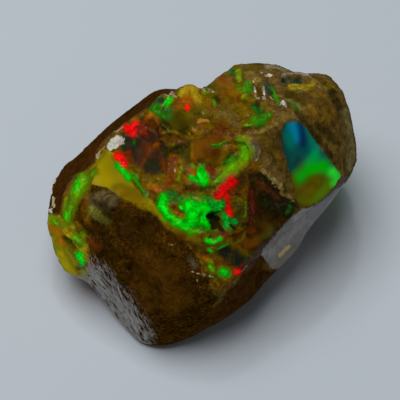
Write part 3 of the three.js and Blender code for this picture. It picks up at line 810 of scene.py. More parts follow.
paintwork = {
    "reach": 12,  # frame units over which a surface's field runs from its outline to full
    "wander": ((1.8 * mm, 0.9), (0.7 * mm, 1.2)),  # size and width of the strokes' wandering
    "wanderShifts": (11, 23),
    "turn": (-0.35, 0.10),  # how far a face turns from the camera before its ground ends
    "turnPatch": 5 * mm,  # size of the tongues in which that ground runs on
    "strokeTurn": (0.12, 0.32),  # the same for its strokes
    "crustTurn": (0.08, 0.26),  # for its crusts
    "gritTurn": (0.05, 0.25),  # and for its grit
    "paneUpward": (0.16, 0.30),  # the window ends where the stone turns down
    "patchSize": 13 * mm,  # the far sides: weathered rind with opal showing through
    "rindShare": 0.12,
    "flashSize": 3.5 * mm,  # the far sides' sparks
    "flashGain": 2.4,
    "flashCut": 0.9,
    "rindCut": 1.5,  # fewer sparks where the rind is
    "flashBase": (6 * mm, 3 * mm),  # no sparks below the lower height
    "redAbove": 0.12,
    "tintRim": (-0.3, 0.7),  # a soft stroke runs from nothing to full between these
    "paneTintRim": (-0.15, 0.95),
    "polishRim": (-0.1, 0.5),
    "carvingRim": (0, 0.9),
    "grip": 7,  # how firmly a stroke keeps its ground against the next
    "flankBare": (0.5, 0.6),  # no strokes where the flank's field is above these
    "paneBare": (0.45, 0.5),
    "undercutShare": 0.3,
    "seeds": {"tongues": 60, "patches": 3, "sparks": 40, "hues": 80},
}


def nearStroke(spots, points, halfWidth):  # 1 in the middle of a stroke, 0 at its rim, less outside
    away = np.full(len(spots), np.inf)
    for a, b in zip(np.array(points, float), np.array(points[1:], float)):
        along = b - a
        share = np.clip((spots - a) @ along / (along @ along), 0, 1)
        away = np.minimum(away, np.linalg.norm(spots - a - share[:, None] * along, axis=1))
    return np.maximum(1 - away / halfWidth, -1)


def smoothStep(low, high, value):
    t = np.clip((value - low) / (high - low), 0, 1)
    return t * t * (3 - 2 * t)


def writeField(mesh, name, values):
    if name not in mesh.attributes:
        mesh.attributes.new(name, "FLOAT", "POINT")
    mesh.attributes[name].data.foreach_set("value", np.asarray(values, np.float32))


def writeColours(mesh, name, colours, share):
    if name not in mesh.attributes:
        mesh.attributes.new(name, "FLOAT_COLOR", "POINT")
    both = np.concatenate([colours, share[:, None]], 1)
    mesh.attributes[name].data.foreach_set("color", both.astype(np.float32).ravel())


def fieldNoise(places, size, shift):
    return np.array([noise.noise(Vector(p / size) + Vector((shift, 0, 0))) for p in places])


def wander(places, spots):  # strokes drift a little, so that their rims aren't ruled
    for size, width in paintwork["wander"]:
        drift = [fieldNoise(places, size, shift) for shift in paintwork["wanderShifts"]]
        spots = spots + width * np.stack(drift, 1)
    return spots


def blendTints(spots, drifted, bare, pane):  # strokes of the window stay inside it, all others outside
    colour, share = np.zeros((len(spots), 3)), np.zeros(len(spots))
    for name, points, halfWidth in tints:
        if name.startswith("pane"):
            over = pane * smoothStep(*paintwork["paneTintRim"], nearStroke(spots, points, halfWidth))
        else:
            near = smoothStep(*paintwork["tintRim"], nearStroke(drifted, points, halfWidth))
            over = bare * (1 - pane) * near
        colour += over[:, None] * (np.array(tintColours[name]) - colour)
        share += over * (1 - share)
    return colour, share


def strongest(strokes, colours, spots):  # each stroke colours its own ground and runs a little into the next
    best, total, colour = np.full(len(spots), -1.0), np.full(len(spots), 1e-9), np.zeros((len(spots), 3))
    for name, points, halfWidth in strokes:
        near = nearStroke(spots, points, halfWidth)
        weight = np.where(near > -1, np.exp(paintwork["grip"] * near), 0)
        colour += weight[:, None] * np.array(colours[name])
        total += weight
        best = np.maximum(best, near)
    return colour / total[:, None], best


def paintStone(mesh):
    places, normals = vertexArrays(mesh)
    facing = normals @ lookoutAxes()[2]
    seeds = paintwork["seeds"]
    tongues = np.maximum(fieldNoise(places, paintwork["turnPatch"], seeds["tongues"]), 0)
    seen = smoothStep(*paintwork["turn"], facing + tongues)
    spots = spotsOf(places)
    drifted = wander(places, spots)
    patches = fieldNoise(places, paintwork["patchSize"], seeds["patches"])
    hidden = {"frontRind": 0.5 + paintwork["rindShare"] + patches,
              "undercut": paintwork["undercutShare"] - patches}
    fields = {}
    for name, outline in surfaces.items():
        here = np.clip(0.5 + insideOutline(spots, outline) / (2 * paintwork["reach"]), 0, 1)
        fields[name] = seen * here + (1 - seen) * np.clip(hidden.get(name, 0), 0, 1)
    fields["pane"] *= smoothStep(*paintwork["paneUpward"], normals[:, 2])
    for name, field in fields.items():
        writeField(mesh, name, field)
    bare = smoothStep(*paintwork["strokeTurn"], facing)
    bare = bare * (1 - smoothStep(*paintwork["flankBare"], fields["flank"]))
    pane = smoothStep(*paintwork["paneBare"], fields["pane"])
    writeColours(mesh, "tint", *blendTints(spots, drifted, bare, pane))
    gloss = np.max([nearStroke(spots, points, halfWidth) for points, halfWidth in polish], axis=0)
    writeField(mesh, "polish", smoothStep(*paintwork["polishRim"], gloss) * bare)
    colour, best = strongest(flashes, flashColours, drifted)
    sparks = paintwork["flashGain"] * fieldNoise(places, paintwork["flashSize"], seeds["sparks"])
    sparks = sparks - paintwork["flashCut"] - paintwork["rindCut"] * patches
    sparks = np.clip(sparks - smoothStep(*paintwork["flashBase"], places[:, 2]), -1, 1)
    isRed = fieldNoise(places, 2 * paintwork["flashSize"], seeds["hues"]) > paintwork["redAbove"]
    hues = np.where(isRed[:, None], flashColours["red"], flashColours["green"])
    away = seen < 0.5
    share = np.where(away, sparks, best - 2 * (1 - bare))
    writeColours(mesh, "flash", np.where(away[:, None], hues, colour), share)
    colour, best = strongest(crusts, crustColours, drifted)
    writeColours(mesh, "crust", colour, best - 2 * (1 - smoothStep(*paintwork["crustTurn"], facing)))
    height = sum(tall * smoothStep(*paintwork["carvingRim"], nearStroke(spots, points, halfWidth))
                 for tall, points, halfWidth in carving)
    writeField(mesh, "carve", height * seen * mm)


paintStone(opal.data)
print("stone painted")


class Sheet:  # a node tree being built, with short ways to add nodes
    def __init__(self, tree):
        self.tree = tree

    def add(self, kind, inputs=None, **settings):
        node = self.tree.nodes.new(kind)
        for name, value in settings.items():
            setattr(node, name, value)
        for name, value in (inputs or {}).items():
            self.feed(node.inputs[name], value)
        return node

    def feed(self, socket, value):
        if isinstance(value, bpy.types.NodeSocket):
            self.tree.links.new(value, socket)
        elif isinstance(value, tuple) and len(value) == 3 and socket.type == "RGBA":
            socket.default_value = (*value, 1)
        else:
            socket.default_value = value

    def math(self, operation, *values):
        node = self.add("ShaderNodeMath", operation=operation)
        for socket, value in zip(node.inputs, values):
            self.feed(socket, value)
        return node.outputs[0]

    def between(self, value, low, high, top=1.0, bottom=0.0):  # smooth, bottom at low and top at high
        limits = {"Value": value, "From Min": low, "From Max": high, "To Min": bottom, "To Max": top}
        return self.add("ShaderNodeMapRange", limits, interpolation_type="SMOOTHSTEP").outputs["Result"]


# Fine relief. Heights are outward; each kind of surface takes its own share of them.
relief = {
    "Lump Size": 2.6 * mm,
    "Lump Height": 0.34 * mm,
    "Grain Size": 0.8 * mm,
    "Grain Height": 0.13 * mm,
    "Chip Size": 1.7 * mm,
    "Chip Slope": 0.16,
    "Carving": 1.0,
    "Base Fade": 1.2 * mm,
    "Seed": 7,
}


# How the relief is shared out: next to none on the glassy surfaces, and rounder on the rind.
reliefShares = {
    "glassy": {"flank": 0.9, "cavern": 0.8, "undercut": 0.95},
    "glassyEdge": (0.44, 0.56, 0.05, 1.0),  # from where to where, and the relief left above and below
    "eastMatt": 0.6,
    "grain": (0.6, 0.4),  # what the rind adds, and the least that is left anywhere
    "lumps": (0.4, 0.6),
    "polish": -0.65,
    "stir": 0.7,  # how fine the cloud is that bends the chips' edges
}


class Shape(Sheet):
    def field(self, name):
        node = self.add("GeometryNodeInputNamedAttribute", {"Name": name}, data_type="FLOAT")
        return node.outputs["Attribute"]

    def vector(self, operation, a, b):
        node = self.add("ShaderNodeVectorMath", operation=operation)
        self.feed(node.inputs[0], a)
        self.feed(node.inputs[1], b)
        return node.outputs["Value"] if operation == "DOT_PRODUCT" else node.outputs["Vector"]

    def scale(self, a, factor):
        node = self.add("ShaderNodeVectorMath", operation="SCALE")
        self.feed(node.inputs[0], a)
        self.feed(node.inputs["Scale"], factor)
        return node.outputs["Vector"]

    def chance(self, kind, low, high, seed):  # a random value for each point
        node = self.add("FunctionNodeRandomValue", data_type=kind)
        for name, value in (("Min", low), ("Max", high), ("Seed", seed)):
            self.feed(node.inputs[name], value)
        return node.outputs["Value"]

    def swell(self, place, size, seed, detail=3):  # from -1 to 1
        settings = {"Vector": place, "Scale": self.math("DIVIDE", 1, size), "Detail": detail}
        settings.update({"Roughness": 0.6, "W": seed})
        texture = self.add("ShaderNodeTexNoise", settings, noise_dimensions="4D")
        return self.math("MULTIPLY_ADD", texture.outputs["Fac"], 2, -1)

    def chip(self, place, size, slope, seed):  # tilted flat plates with breaks between them
        settings = {"Vector": place, "Scale": self.math("DIVIDE", 1, size), "W": seed}
        texture = self.add("ShaderNodeTexVoronoi", settings, voronoi_dimensions="4D")
        away = self.vector("SUBTRACT", place, texture.outputs["Position"])
        tilt = self.vector("SUBTRACT", texture.outputs["Color"], (0.5, 0.5, 0.5))
        return self.math("MULTIPLY", self.vector("DOT_PRODUCT", away, tilt), self.math("MULTIPLY", slope, 2))


def newTree(name, inputs):
    tree = bpy.data.node_groups.new(name, "GeometryNodeTree")
    tree.interface.new_socket("Geometry", in_out="INPUT", socket_type="NodeSocketGeometry")
    for label, value in inputs.items():
        kinds = {int: "NodeSocketInt", str: "NodeSocketString", bpy.types.Material: "NodeSocketMaterial"}
        kind = kinds.get(type(value), "NodeSocketFloat")
        tree.interface.new_socket(label, in_out="INPUT", socket_type=kind)
    tree.interface.new_socket("Geometry", in_out="OUTPUT", socket_type="NodeSocketGeometry")
    return tree


def reliefTree(material):
    tree = newTree("opal relief", relief)
    shape = Shape(tree)
    given = shape.add("NodeGroupInput").outputs
    place = shape.add("GeometryNodeInputPosition").outputs[0]
    seed = given["Seed"]
    stirScale = shape.math("DIVIDE", reliefShares["stir"], given["Chip Size"])
    settings = {"Vector": place, "Scale": stirScale, "Detail": 2, "W": seed}
    stir = shape.add("ShaderNodeTexNoise", settings, noise_dimensions="4D")
    stirred = shape.vector("ADD", place, shape.scale(stir.outputs["Color"], given["Chip Size"]))
    chips = shape.chip(stirred, given["Chip Size"], given["Chip Slope"], seed)
    grain = shape.swell(place, given["Grain Size"], shape.math("ADD", seed, 1))
    grain = shape.math("MULTIPLY", grain, given["Grain Height"])
    lumps = shape.swell(place, given["Lump Size"], shape.math("ADD", seed, 2))
    lumps = shape.math("MULTIPLY", lumps, given["Lump Height"])
    glassy = shape.math("MAXIMUM", shape.field("honey"), shape.field("pane"))
    for name, share in reliefShares["glassy"].items():
        glassy = shape.math("MAXIMUM", glassy, shape.math("MULTIPLY", shape.field(name), share))
    eastShare = shape.math("MULTIPLY", shape.field("eastRind"), reliefShares["eastMatt"])
    matt = shape.math("MAXIMUM", shape.field("frontRind"), eastShare)
    rough = shape.between(glassy, *reliefShares["glassyEdge"])
    height = shape.math("MULTIPLY", chips, shape.math("SUBTRACT", 1, matt))
    for swell, ends in ((grain, reliefShares["grain"]), (lumps, reliefShares["lumps"])):
        swell = shape.math("MULTIPLY", swell, shape.math("MULTIPLY_ADD", matt, *ends))
        height = shape.math("ADD", height, swell)
    height = shape.math("MULTIPLY", height, rough)
    kept = shape.math("MULTIPLY_ADD", shape.field("polish"), reliefShares["polish"], 1)
    height = shape.math("MULTIPLY", height, kept)
    height = shape.math("ADD", height, shape.math("MULTIPLY", shape.field("carve"), given["Carving"]))
    above = shape.add("ShaderNodeSeparateXYZ", {"Vector": place}).outputs["Z"]
    height = shape.math("MULTIPLY", height, shape.between(above, 0, given["Base Fade"]))
    push = shape.scale(shape.add("GeometryNodeInputNormal").outputs[0], height)
    moved = shape.add("GeometryNodeSetPosition", {"Geometry": given["Geometry"], "Offset": push})
    real = shape.add("GeometryNodeRealizeInstances", {"Geometry": moved.outputs[0]})
    dressed = shape.add("GeometryNodeSetMaterial", {"Geometry": real.outputs[0], "Material": material})
    shape.add("NodeGroupOutput", {"Geometry": dressed.outputs[0]})
    return tree


def addTree(piece, tree, values):
    modifier = piece.modifiers.new(tree.name, "NODES")
    modifier.node_group = tree
    for item in tree.interface.items_tree:
        if item.item_type == "SOCKET" and item.in_out == "INPUT" and item.name in values:
            modifier[item.identifier] = values[item.name]
    bakeModifiers(piece)


# Clouds that colour the stone: size, detail, roughness, distortion and seed; then from where to where
# each is taken, and what it gives at its high and at its low end.
mottles = {
    "patch": ((4 * mm, 4, 0.5, 0, 1), (0.42, 0.58)),
    "rindGrain": ((0.5 * mm, 5, 0.75, 0, 3), (0.36, 0.66)),
    "rindGreen": ((1.4 * mm, 5, 0.7, 0, 26), (0.5, 0.62, 0.55)),
    "rindShade": ((5 * mm, 3, 0.5, 0, 16), (0.5, 0.7, 0.6)),
    "rindHair": ((0.22 * mm, 3, 0.6, 0.5, 27), (0.36, 0.64, 1.35, 0.65)),
    "eastMottle": ((1.6 * mm, 6, 0.7, 0.6, 5), (0.34, 0.68)),
    "eastShade": ((3.5 * mm, 4, 0.6, 0, 18), (0.52, 0.7, 0.35)),
    "eastFine": ((0.35 * mm, 4, 0.65, 0, 28), (0.34, 0.66, 1.18, 0.80)),
    "facetSoft": ((1.2 * mm, 4, 0.6, 0, 30), (0.3, 0.7, 1.12, 0.82)),
    "facetWide": ((1.26 * mm, 3, 0.6, 0.3, 36), (0.35, 0.65, 1.2, 0.7)),
    "worn": ((1.0 * mm, 5, 0.7, 0, 15), (0.2, 0.5)),
    "wisps": ((1.5 * mm, 7, 0.68, 0.8, 2), (0.3, 0.7, 1.5, 0.45)),
    "grain": ((0.28 * mm, 3, 0.6, 0, 32), (0.34, 0.66, 1.2, 0.8)),
    "flashDepth": ((0.8 * mm, 5, 0.7, 0.4, 21), (0.34, 0.60, 1.0, 0.35)),
    "flashFleck": ((0.3 * mm, 4, 0.7, 0, 37), (0.34, 0.58, 1.0, 0.55)),
    "wetChips": ((0.4 * mm, 2, 0.5, 0, 35), (0.57, 0.64, 0.65)),
    "grainPatch": ((0.5 * mm, 2, 0.5, 0, 0), (0.4, 0.6)),
}

# How each ground's rim is broken: by how much, the cloud's size and seed, and where the rim starts and ends.
rims = {
    "undercut": (0.2, 3 * mm, 6, 0.42, 0.58),
    "frontRind": (1.0, 1.6 * mm, 7, 0.46, 0.56),
    "eastRind": (1.4, 3.0 * mm, 8, 0.42, 0.58),
    "silverFacet": (1.0, 1.6 * mm, 25, 0.42, 0.58),
    "flank": (0.15, 2 * mm, 9, 0.42, 0.58),
    "cavern": (0.5, 2.5 * mm, 10, 0.42, 0.58),
    "tip": (0.5, 2 * mm, 12, 0.42, 0.58),
    "pool": (0.8, 3 * mm, 11, 0.42, 0.58),
    "honey": (0.08, 1.5 * mm, 13, 0.47, 0.53),
    "pane": (0.08, 1.5 * mm, 14, 0.47, 0.53),
}


class Paint(Sheet):
    def field(self, name):
        return self.add("ShaderNodeAttribute", attribute_name=name).outputs["Fac"]

    def strokes(self, name):
        node = self.add("ShaderNodeAttribute", attribute_name=name)
        return node.outputs["Color"], node.outputs["Alpha"]

    def cloud(self, size, detail, roughness, distortion, seed, place=None):  # 0 to 1, mostly 0.3 to 0.7
        settings = {"Vector": place or self.place, "Scale": 1 / size, "Detail": detail}
        settings.update({"Roughness": roughness, "Distortion": distortion, "W": seed})
        return self.add("ShaderNodeTexNoise", settings, noise_dimensions="4D").outputs["Fac"]

    def mottle(self, name, place=None):
        cloud, ends = mottles[name]
        return self.between(self.cloud(*cloud, place), *ends)

    def drawnOut(self, direction, times):  # places in which a pattern is that many times as long one way
        unit = tuple(Vector(direction).normalized())
        dot = self.add("ShaderNodeVectorMath", {0: self.place, 1: unit}, operation="DOT_PRODUCT")
        pull = self.math("MULTIPLY", dot.outputs["Value"], 1 / times - 1)
        back = self.add("ShaderNodeVectorMath", {0: unit, "Scale": pull}, operation="SCALE")
        moved = {0: self.place, 1: back.outputs["Vector"]}
        return self.add("ShaderNodeVectorMath", moved, operation="ADD").outputs["Vector"]

    def specks(self, size, radius, share, seed):  # small dots, one in some of the cells
        texture = self.add("ShaderNodeTexVoronoi", {"Vector": self.place, "Scale": 1 / size, "W": seed},
                           voronoi_dimensions="4D")
        dot = self.between(texture.outputs["Distance"], radius / size, 0.6 * radius / size)
        chosen = self.add("ShaderNodeSeparateColor", {"Color": texture.outputs["Color"]}).outputs["Red"]
        return self.math("MULTIPLY", dot, self.math("LESS_THAN", chosen, share))

    def mix(self, share, a, b, blend="MIX"):
        node = self.add("ShaderNodeMix", data_type="RGBA", blend_type=blend)
        self.feed(node.inputs["Factor"], share)
        self.feed(node.inputs[6], a)
        self.feed(node.inputs[7], b)
        return node.outputs[2]

    def shade(self, colour, factor):
        return self.mix(1.0, colour, factor, "MULTIPLY")

    def blendValue(self, share, a, b):
        node = self.add("ShaderNodeMix", data_type="FLOAT")
        self.feed(node.inputs["Factor"], share)
        self.feed(node.inputs[2], a)
        self.feed(node.inputs[3], b)
        return node.outputs[0]

    def stirred(self, value, cloud, amount):
        return self.math("ADD", value, self.math("MULTIPLY_ADD", cloud, amount, -amount / 2))

    def broken(self, value, amount, size, seed):
        return self.stirred(value, self.cloud(size, 5, 0.65, 0, seed), amount)

    def ragged(self, name):  # a surface's field with a broken rim
        amount, size, seed, low, high = rims[name]
        return self.between(self.broken(self.field(name), amount, size, seed), low, high)


rindHair = {"way": (0.6, -0.5, -0.6), "length": 5}
# Painted glints: sparse pale specks on the rind.
rindGlints = (0.55 * mm, 0.07 * mm, 0.16, 4)  # cell, radius, share of the cells, seed


def rindColour(paint):
    f = finish
    grain = paint.mottle("rindGrain")
    rind = paint.mix(grain, f["rindDark"], f["rindBrown"])
    green = paint.mottle("rindGreen")
    rind = paint.mix(green, rind, paint.mix(grain, f["rindDark"], f["rindOlive"]))
    rind = paint.mix(paint.mottle("rindShade"), rind, f["rindDark"])
    hair = paint.mottle("rindHair", paint.drawnOut(rindHair["way"], rindHair["length"]))
    # the pale specks are painted glints
    return paint.mix(paint.specks(*rindGlints), paint.shade(rind, hair), f["glintPale"])


def eastColour(paint):
    east = paint.mix(paint.mottle("eastMottle"), finish["eastBrown"], finish["eastPale"])
    east = paint.mix(paint.mottle("eastShade"), east, finish["eastDark"])
    return paint.shade(east, paint.mottle("eastFine"))


# The two facets, painted bright: a painted reflection of the pale floor, with the coat's real gloss on top.
# The streaks run down the silver one.
facets = {
    "streaks": (0.42 * mm, 3, 0.6, 0.3, 29),
    "streakWay": (0.07, -0.64, -0.76),
    "streakLength": 4.5,
    "wideLength": 3,
    "silverStir": 4.0,  # how far the streaks break each rim
    "silverRim": (0.46, 0.66),
    "flecks": (0.555, 0.60),
    "paleStir": 0.3,
    "paleRim": (0.46, 0.52),
    "paleTint": 0.7,
}


def facetColour(paint):  # a bright facet, its brightness a painted reflection, with dark flecks drawn out along it
    f = facets
    streaks = paint.cloud(*f["streaks"], paint.drawnOut(f["streakWay"], f["streakLength"]))
    silver = paint.stirred(paint.field("silverFacet"), streaks, f["silverStir"])
    silver = paint.between(silver, *f["silverRim"])
    flecks = paint.between(streaks, *f["flecks"])
    silver = paint.math("MULTIPLY", silver, paint.math("SUBTRACT", 1, flecks))
    pale = paint.between(paint.stirred(paint.field("paleFacet"), streaks, f["paleStir"]), *f["paleRim"])
    soft = paint.mottle("facetSoft")
    wide = paint.mottle("facetWide", paint.drawnOut(f["streakWay"], f["wideLength"]))
    return silver, pale, paint.shade(finish["facetReflection"], paint.math("MULTIPLY", soft, wide))


def groundColour(paint):
    f = finish
    base = paint.mix(paint.mottle("patch"), f["olive"], f["amber"])
    base = paint.mix(paint.ragged("undercut"), base, f["undercut"])
    frontRind, eastRind = paint.ragged("frontRind"), paint.ragged("eastRind")
    base = paint.mix(frontRind, base, rindColour(paint))
    base = paint.mix(eastRind, base, eastColour(paint))
    for name in ("silverFacet", "flank", "cavern", "tip", "pool"):
        base = paint.mix(paint.ragged(name), base, f[name])
    honey = paint.ragged("honey")
    base = paint.mix(honey, base, f["honey"])
    pane = paint.ragged("pane")
    base = paint.mix(pane, base, f["pane"])
    return base, paint.math("MAXIMUM", honey, pane), pane, paint.math("MAXIMUM", frontRind, eastRind)


# How the flashes end and their painted glow, and how the gloss lies. Breaks are amount, cloud size and seed;
# specks are cell, radius, share of the cells and seed.
play = {
    "halo": (-1.0, 0.5),  # a flash colours the stone round it a little
    "haloShare": 0.5,
    "flashBreaks": ((2.2, 1.1 * mm, 20), (2.4, 0.32 * mm, 23)),
    "dimTo": (0.25, 0.6),  # below this strength a flash fades out softly, above it keeps its rim
    "softRim": (-0.8, 1.1),
    "hardRim": (-0.25, 0.45),
    "core": (-0.05, 0.8),
    "pits": (0.95 * mm, 0.2 * mm, 0.3, 38),
    "pitDepth": 0.25,
    "unlit": 0.6,  # a flash's colour outside its core
    "crustBreaks": ((2.0, 0.8 * mm, 22), (1.6, 0.25 * mm, 33)),
    "crustRim": (0.1, 0.35),
    # painted glints: small pale specks on the broken opal
    "glintSpecks": (0.7 * mm, 0.07 * mm, 0.12, 34),
    # painted glow: how strongly the flashes' cores and the window give off their colour as light
    "glow": 0.6,
    "windowGlow": 0.34,
    "clearing": 0.75,  # how far polish clears the wisps and grain
    "roughness": (0.3, 0.8),  # of opal and of rind
    "wet": (0.06, 0.035),  # the coat where the stone is broken, and where it is polished
    "plainEdge": (0.6, 0.45),  # no coat on the flank and the undercut
    "coatRoughness": 0.08,
    "ior": 1.45,
    "relief": (0.3 * mm, 6, 0.7, 0, 31),
    "smoothRelief": 0.05,
    "bump": (0.45, 0.05 * mm),  # strength and depth
    "coatBump": (0.8, 0.06 * mm),
}


def bodyColour(paint):  # the stone under its flashes, and the shares of its kinds of surface
    base, smooth, pane, matt = groundColour(paint)
    tint, share = paint.strokes("tint")
    worn = paint.math("MULTIPLY", share, paint.mottle("worn"))
    base = paint.mix(paint.blendValue(smooth, worn, share), base, tint)
    # Depth in the glassy stone: darker and lighter wisps, and a finer grain.
    wisps, grain = paint.mottle("wisps"), paint.mottle("grain")
    clear = paint.math("MAXIMUM", smooth, paint.math("MULTIPLY", paint.field("polish"), play["clearing"]))
    base = paint.shade(base, paint.blendValue(clear, paint.math("MULTIPLY", wisps, grain), 1.0))
    # The facets are painted bright: a painted reflection laid over the stone.
    silver, pale, reflectionTone = facetColour(paint)
    facetReflection = paint.math("MAXIMUM", silver, pale)
    tinted = paint.math("MULTIPLY", paint.math("MULTIPLY", share, pale), facets["paleTint"])
    base = paint.mix(facetReflection, base, paint.mix(tinted, reflectionTone, tint))
    return base, {"smooth": smooth, "pane": pane, "matt": matt, "facetReflection": facetReflection, "grain": grain}


def flashColour(paint, base, shares):  # flashes on the stone with crusts over them, and what glows
    flash, near = paint.strokes("flash")
    halo = paint.math("MULTIPLY", paint.between(near, *play["halo"]), play["haloShare"])
    base = paint.mix(paint.blendValue(shares["matt"], halo, 0.0), base, flash)
    edge = near
    for spread in play["flashBreaks"]:
        edge = paint.broken(edge, *spread)
    hues = paint.add("ShaderNodeSeparateColor", {"Color": flash}).outputs
    bright = paint.between(paint.math("MAXIMUM", hues["Red"], hues["Green"]), *play["dimTo"])
    low, high = (paint.blendValue(bright, *ends) for ends in zip(play["softRim"], play["hardRim"]))
    rim = paint.between(edge, low, high)
    core = paint.between(edge, *play["core"])
    lit = paint.math("MULTIPLY", core, paint.mottle("flashDepth"))
    fleck = paint.mottle("flashFleck")
    pits = paint.between(paint.specks(*play["pits"]), 0, 1, play["pitDepth"], 1.0)
    lit = paint.math("MULTIPLY", lit, paint.math("MULTIPLY", fleck, pits))
    crust, cover = paint.strokes("crust")
    for spread in play["crustBreaks"]:
        cover = paint.broken(cover, *spread)
    cover = paint.between(cover, *play["crustRim"])
    base = paint.mix(rim, base, paint.shade(flash, paint.blendValue(lit, play["unlit"], 1.0)))
    base = paint.mix(cover, base, paint.shade(crust, shares["grain"]))
    # Painted glints: small pale specks over the broken opal, none on the rind, the honey face or the window.
    specks = paint.specks(*play["glintSpecks"])
    glintSpecks = paint.math("MULTIPLY", specks, paint.math("SUBTRACT", 1, shares["smooth"]))
    base = paint.mix(paint.blendValue(shares["matt"], glintSpecks, 0.0), base, finish["glintPale"])
    black = (0.0, 0.0, 0.0)
    # Painted glow: the lit cores of the flashes, and the window, give off their colour as emission.
    glow = paint.mix(paint.math("MULTIPLY", lit, paint.math("SUBTRACT", 1, cover)), black, flash)
    paneGlow = paint.mix(paint.math("MULTIPLY", shares["pane"], play["windowGlow"]), black, base)
    return base, paint.mix(1.0, glow, paneGlow, "ADD")


# The wet gloss is a coat: full on the facets and on small chips, thin elsewhere, none on the rind.
def wetGloss(paint, shares):
    wet = paint.blendValue(paint.field("polish"), *play["wet"])
    chips = paint.mottle("wetChips")
    polished = paint.math("MAXIMUM", shares["smooth"], paint.field("polish"))
    chips = paint.math("MULTIPLY", chips, paint.math("SUBTRACT", 1, polished))
    wet = paint.math("MULTIPLY", paint.math("MAXIMUM", wet, chips), paint.math("SUBTRACT", 1, shares["matt"]))
    plain = paint.math("MAXIMUM", paint.field("flank"), paint.field("undercut"))
    wet = paint.math("MULTIPLY", wet, paint.between(plain, *play["plainEdge"]))
    return paint.math("MAXIMUM", wet, shares["facetReflection"])


def newFinish(name):
    material = bpy.data.materials.new(name)
    material.use_nodes = True
    paint = Paint(material.node_tree)
    paint.place = paint.add("ShaderNodeTexCoord").outputs["Object"]
    return material, paint, material.node_tree.nodes["Principled BSDF"].inputs


def opalFinish():
    material, paint, surface = newFinish("opal skin")
    base, shares = bodyColour(paint)
    base, glow = flashColour(paint, base, shares)
    paint.feed(surface["Base Color"], base)
    paint.feed(surface["Emission Color"], glow)
    paint.feed(surface["Emission Strength"], play["glow"])
    paint.feed(surface["Roughness"], paint.blendValue(shares["matt"], *play["roughness"]))
    paint.feed(surface["Coat Weight"], wetGloss(paint, shares))
    fine = paint.cloud(*play["relief"])
    fine = paint.math("MULTIPLY", fine, paint.blendValue(shares["smooth"], 1.0, play["smoothRelief"]))
    for name, (strength, deep) in (("Normal", play["bump"]), ("Coat Normal", play["coatBump"])):
        bump = paint.add("ShaderNodeBump", {"Strength": strength, "Distance": deep, "Height": fine})
        paint.feed(surface[name], bump.outputs["Normal"])
    paint.feed(surface["IOR"], play["ior"])
    paint.feed(surface["Specular IOR Level"], 0.0)
    paint.feed(surface["Coat Roughness"], play["coatRoughness"])
    return material


addTree(opal, reliefTree(opalFinish()), relief)
print("relief and finish made")

# Grains: clear crystals and crumbs that sit where a stroke of grit runs.
grit = {
    "sugar": [
        # along the crest the pale grains stand partly for painted highlights
        ([(97, 160), (99, 152), (105, 147)], 1.6),
        ([(113, 133), (121, 128)], 1.6),
        ([(202, 89), (204, 90)], 2),
        ([(210, 90), (214, 92)], 2),
        ([(254, 80), (254, 96)], 2.4),
        ([(263, 86), (264, 99)], 3),
        ([(256, 98), (262, 100)], 2),
        ([(259, 71), (264, 75), (272, 76)], 2.4),
        ([(192, 272), (204, 274), (214, 278)], 2),
        ([(197, 280), (200, 286)], 2),
        # along the flank's left rim the pale grains stand partly for painted highlights
        ([(53, 177), (52, 195), (53, 211)], 2),
        # on the crest: pale grains, partly a painted highlight
        ([(172, 93), (177, 96)], 2),
        ([(282, 103), (285, 110)], 3),
    ],
    "crumbs": [
        ([(262, 169), (267, 174)], 4),
        ([(268, 175), (277, 183)], 4.4),
        ([(277, 184), (282, 190)], 4.4),
        ([(281, 193), (291, 199)], 4.4),
        ([(198, 122), (209, 120)], 2.6),
        ([(186, 132), (201, 136)], 3),
        ([(227, 145), (236, 152)], 4),
        ([(236, 198), (244, 212)], 4),
        ([(246, 72), (256, 82)], 4),
        ([(190, 257), (197, 267)], 4),
        ([(169, 243), (172, 251)], 2.4),
    ],
}
grains = {
    "clump": 0.9 * mm,
    "clumpEdge": (-0.05, 0.25),
    "least": (0.5, 0.4, 0.3),  # times the grain size, along its three axes
    "most": (1.5, 1.1, 0.9),
    "fewLarge": (0.3, 1.0, 3),  # a chance from least to most, to a power, so that most are small
    "sizeRange": (1.0, 0.3),  # that chance's gain, and the smallest size
    "fullTurn": (6.3, 6.3, 6.3),
    "wearCloud": (0.4 * mm, 2, 0.5, 0, 2),
    "wearGain": 0.2,
}
# The two colours of each kind of grain, and its roughness.
grainFinishes = {
    "sugar crystal": ((0.80, 0.74, 0.58), (0.36, 0.27, 0.14), 0.2),
    "ochre crumb": ((0.38, 0.28, 0.09), (0.17, 0.10, 0.02), 0.6),
}
sugarGrains = {"Where": "sugar", "Grain Size": 0.22 * mm, "Grains Each Square Metre": 14e6, "Seed": 3}
crumbGrains = {"Where": "crumbs", "Grain Size": 0.26 * mm, "Grains Each Square Metre": 6e6, "Seed": 5}


def layGrit(mesh):
    places, normals = vertexArrays(mesh)
    spots = spotsOf(places)
    seen = smoothStep(*paintwork["gritTurn"], normals @ lookoutAxes()[2])
    for name, strokes in grit.items():
        near = np.max([nearStroke(spots, points, halfWidth) for points, halfWidth in strokes], axis=0)
        writeField(mesh, name, np.clip(near, 0, 1) * seen)


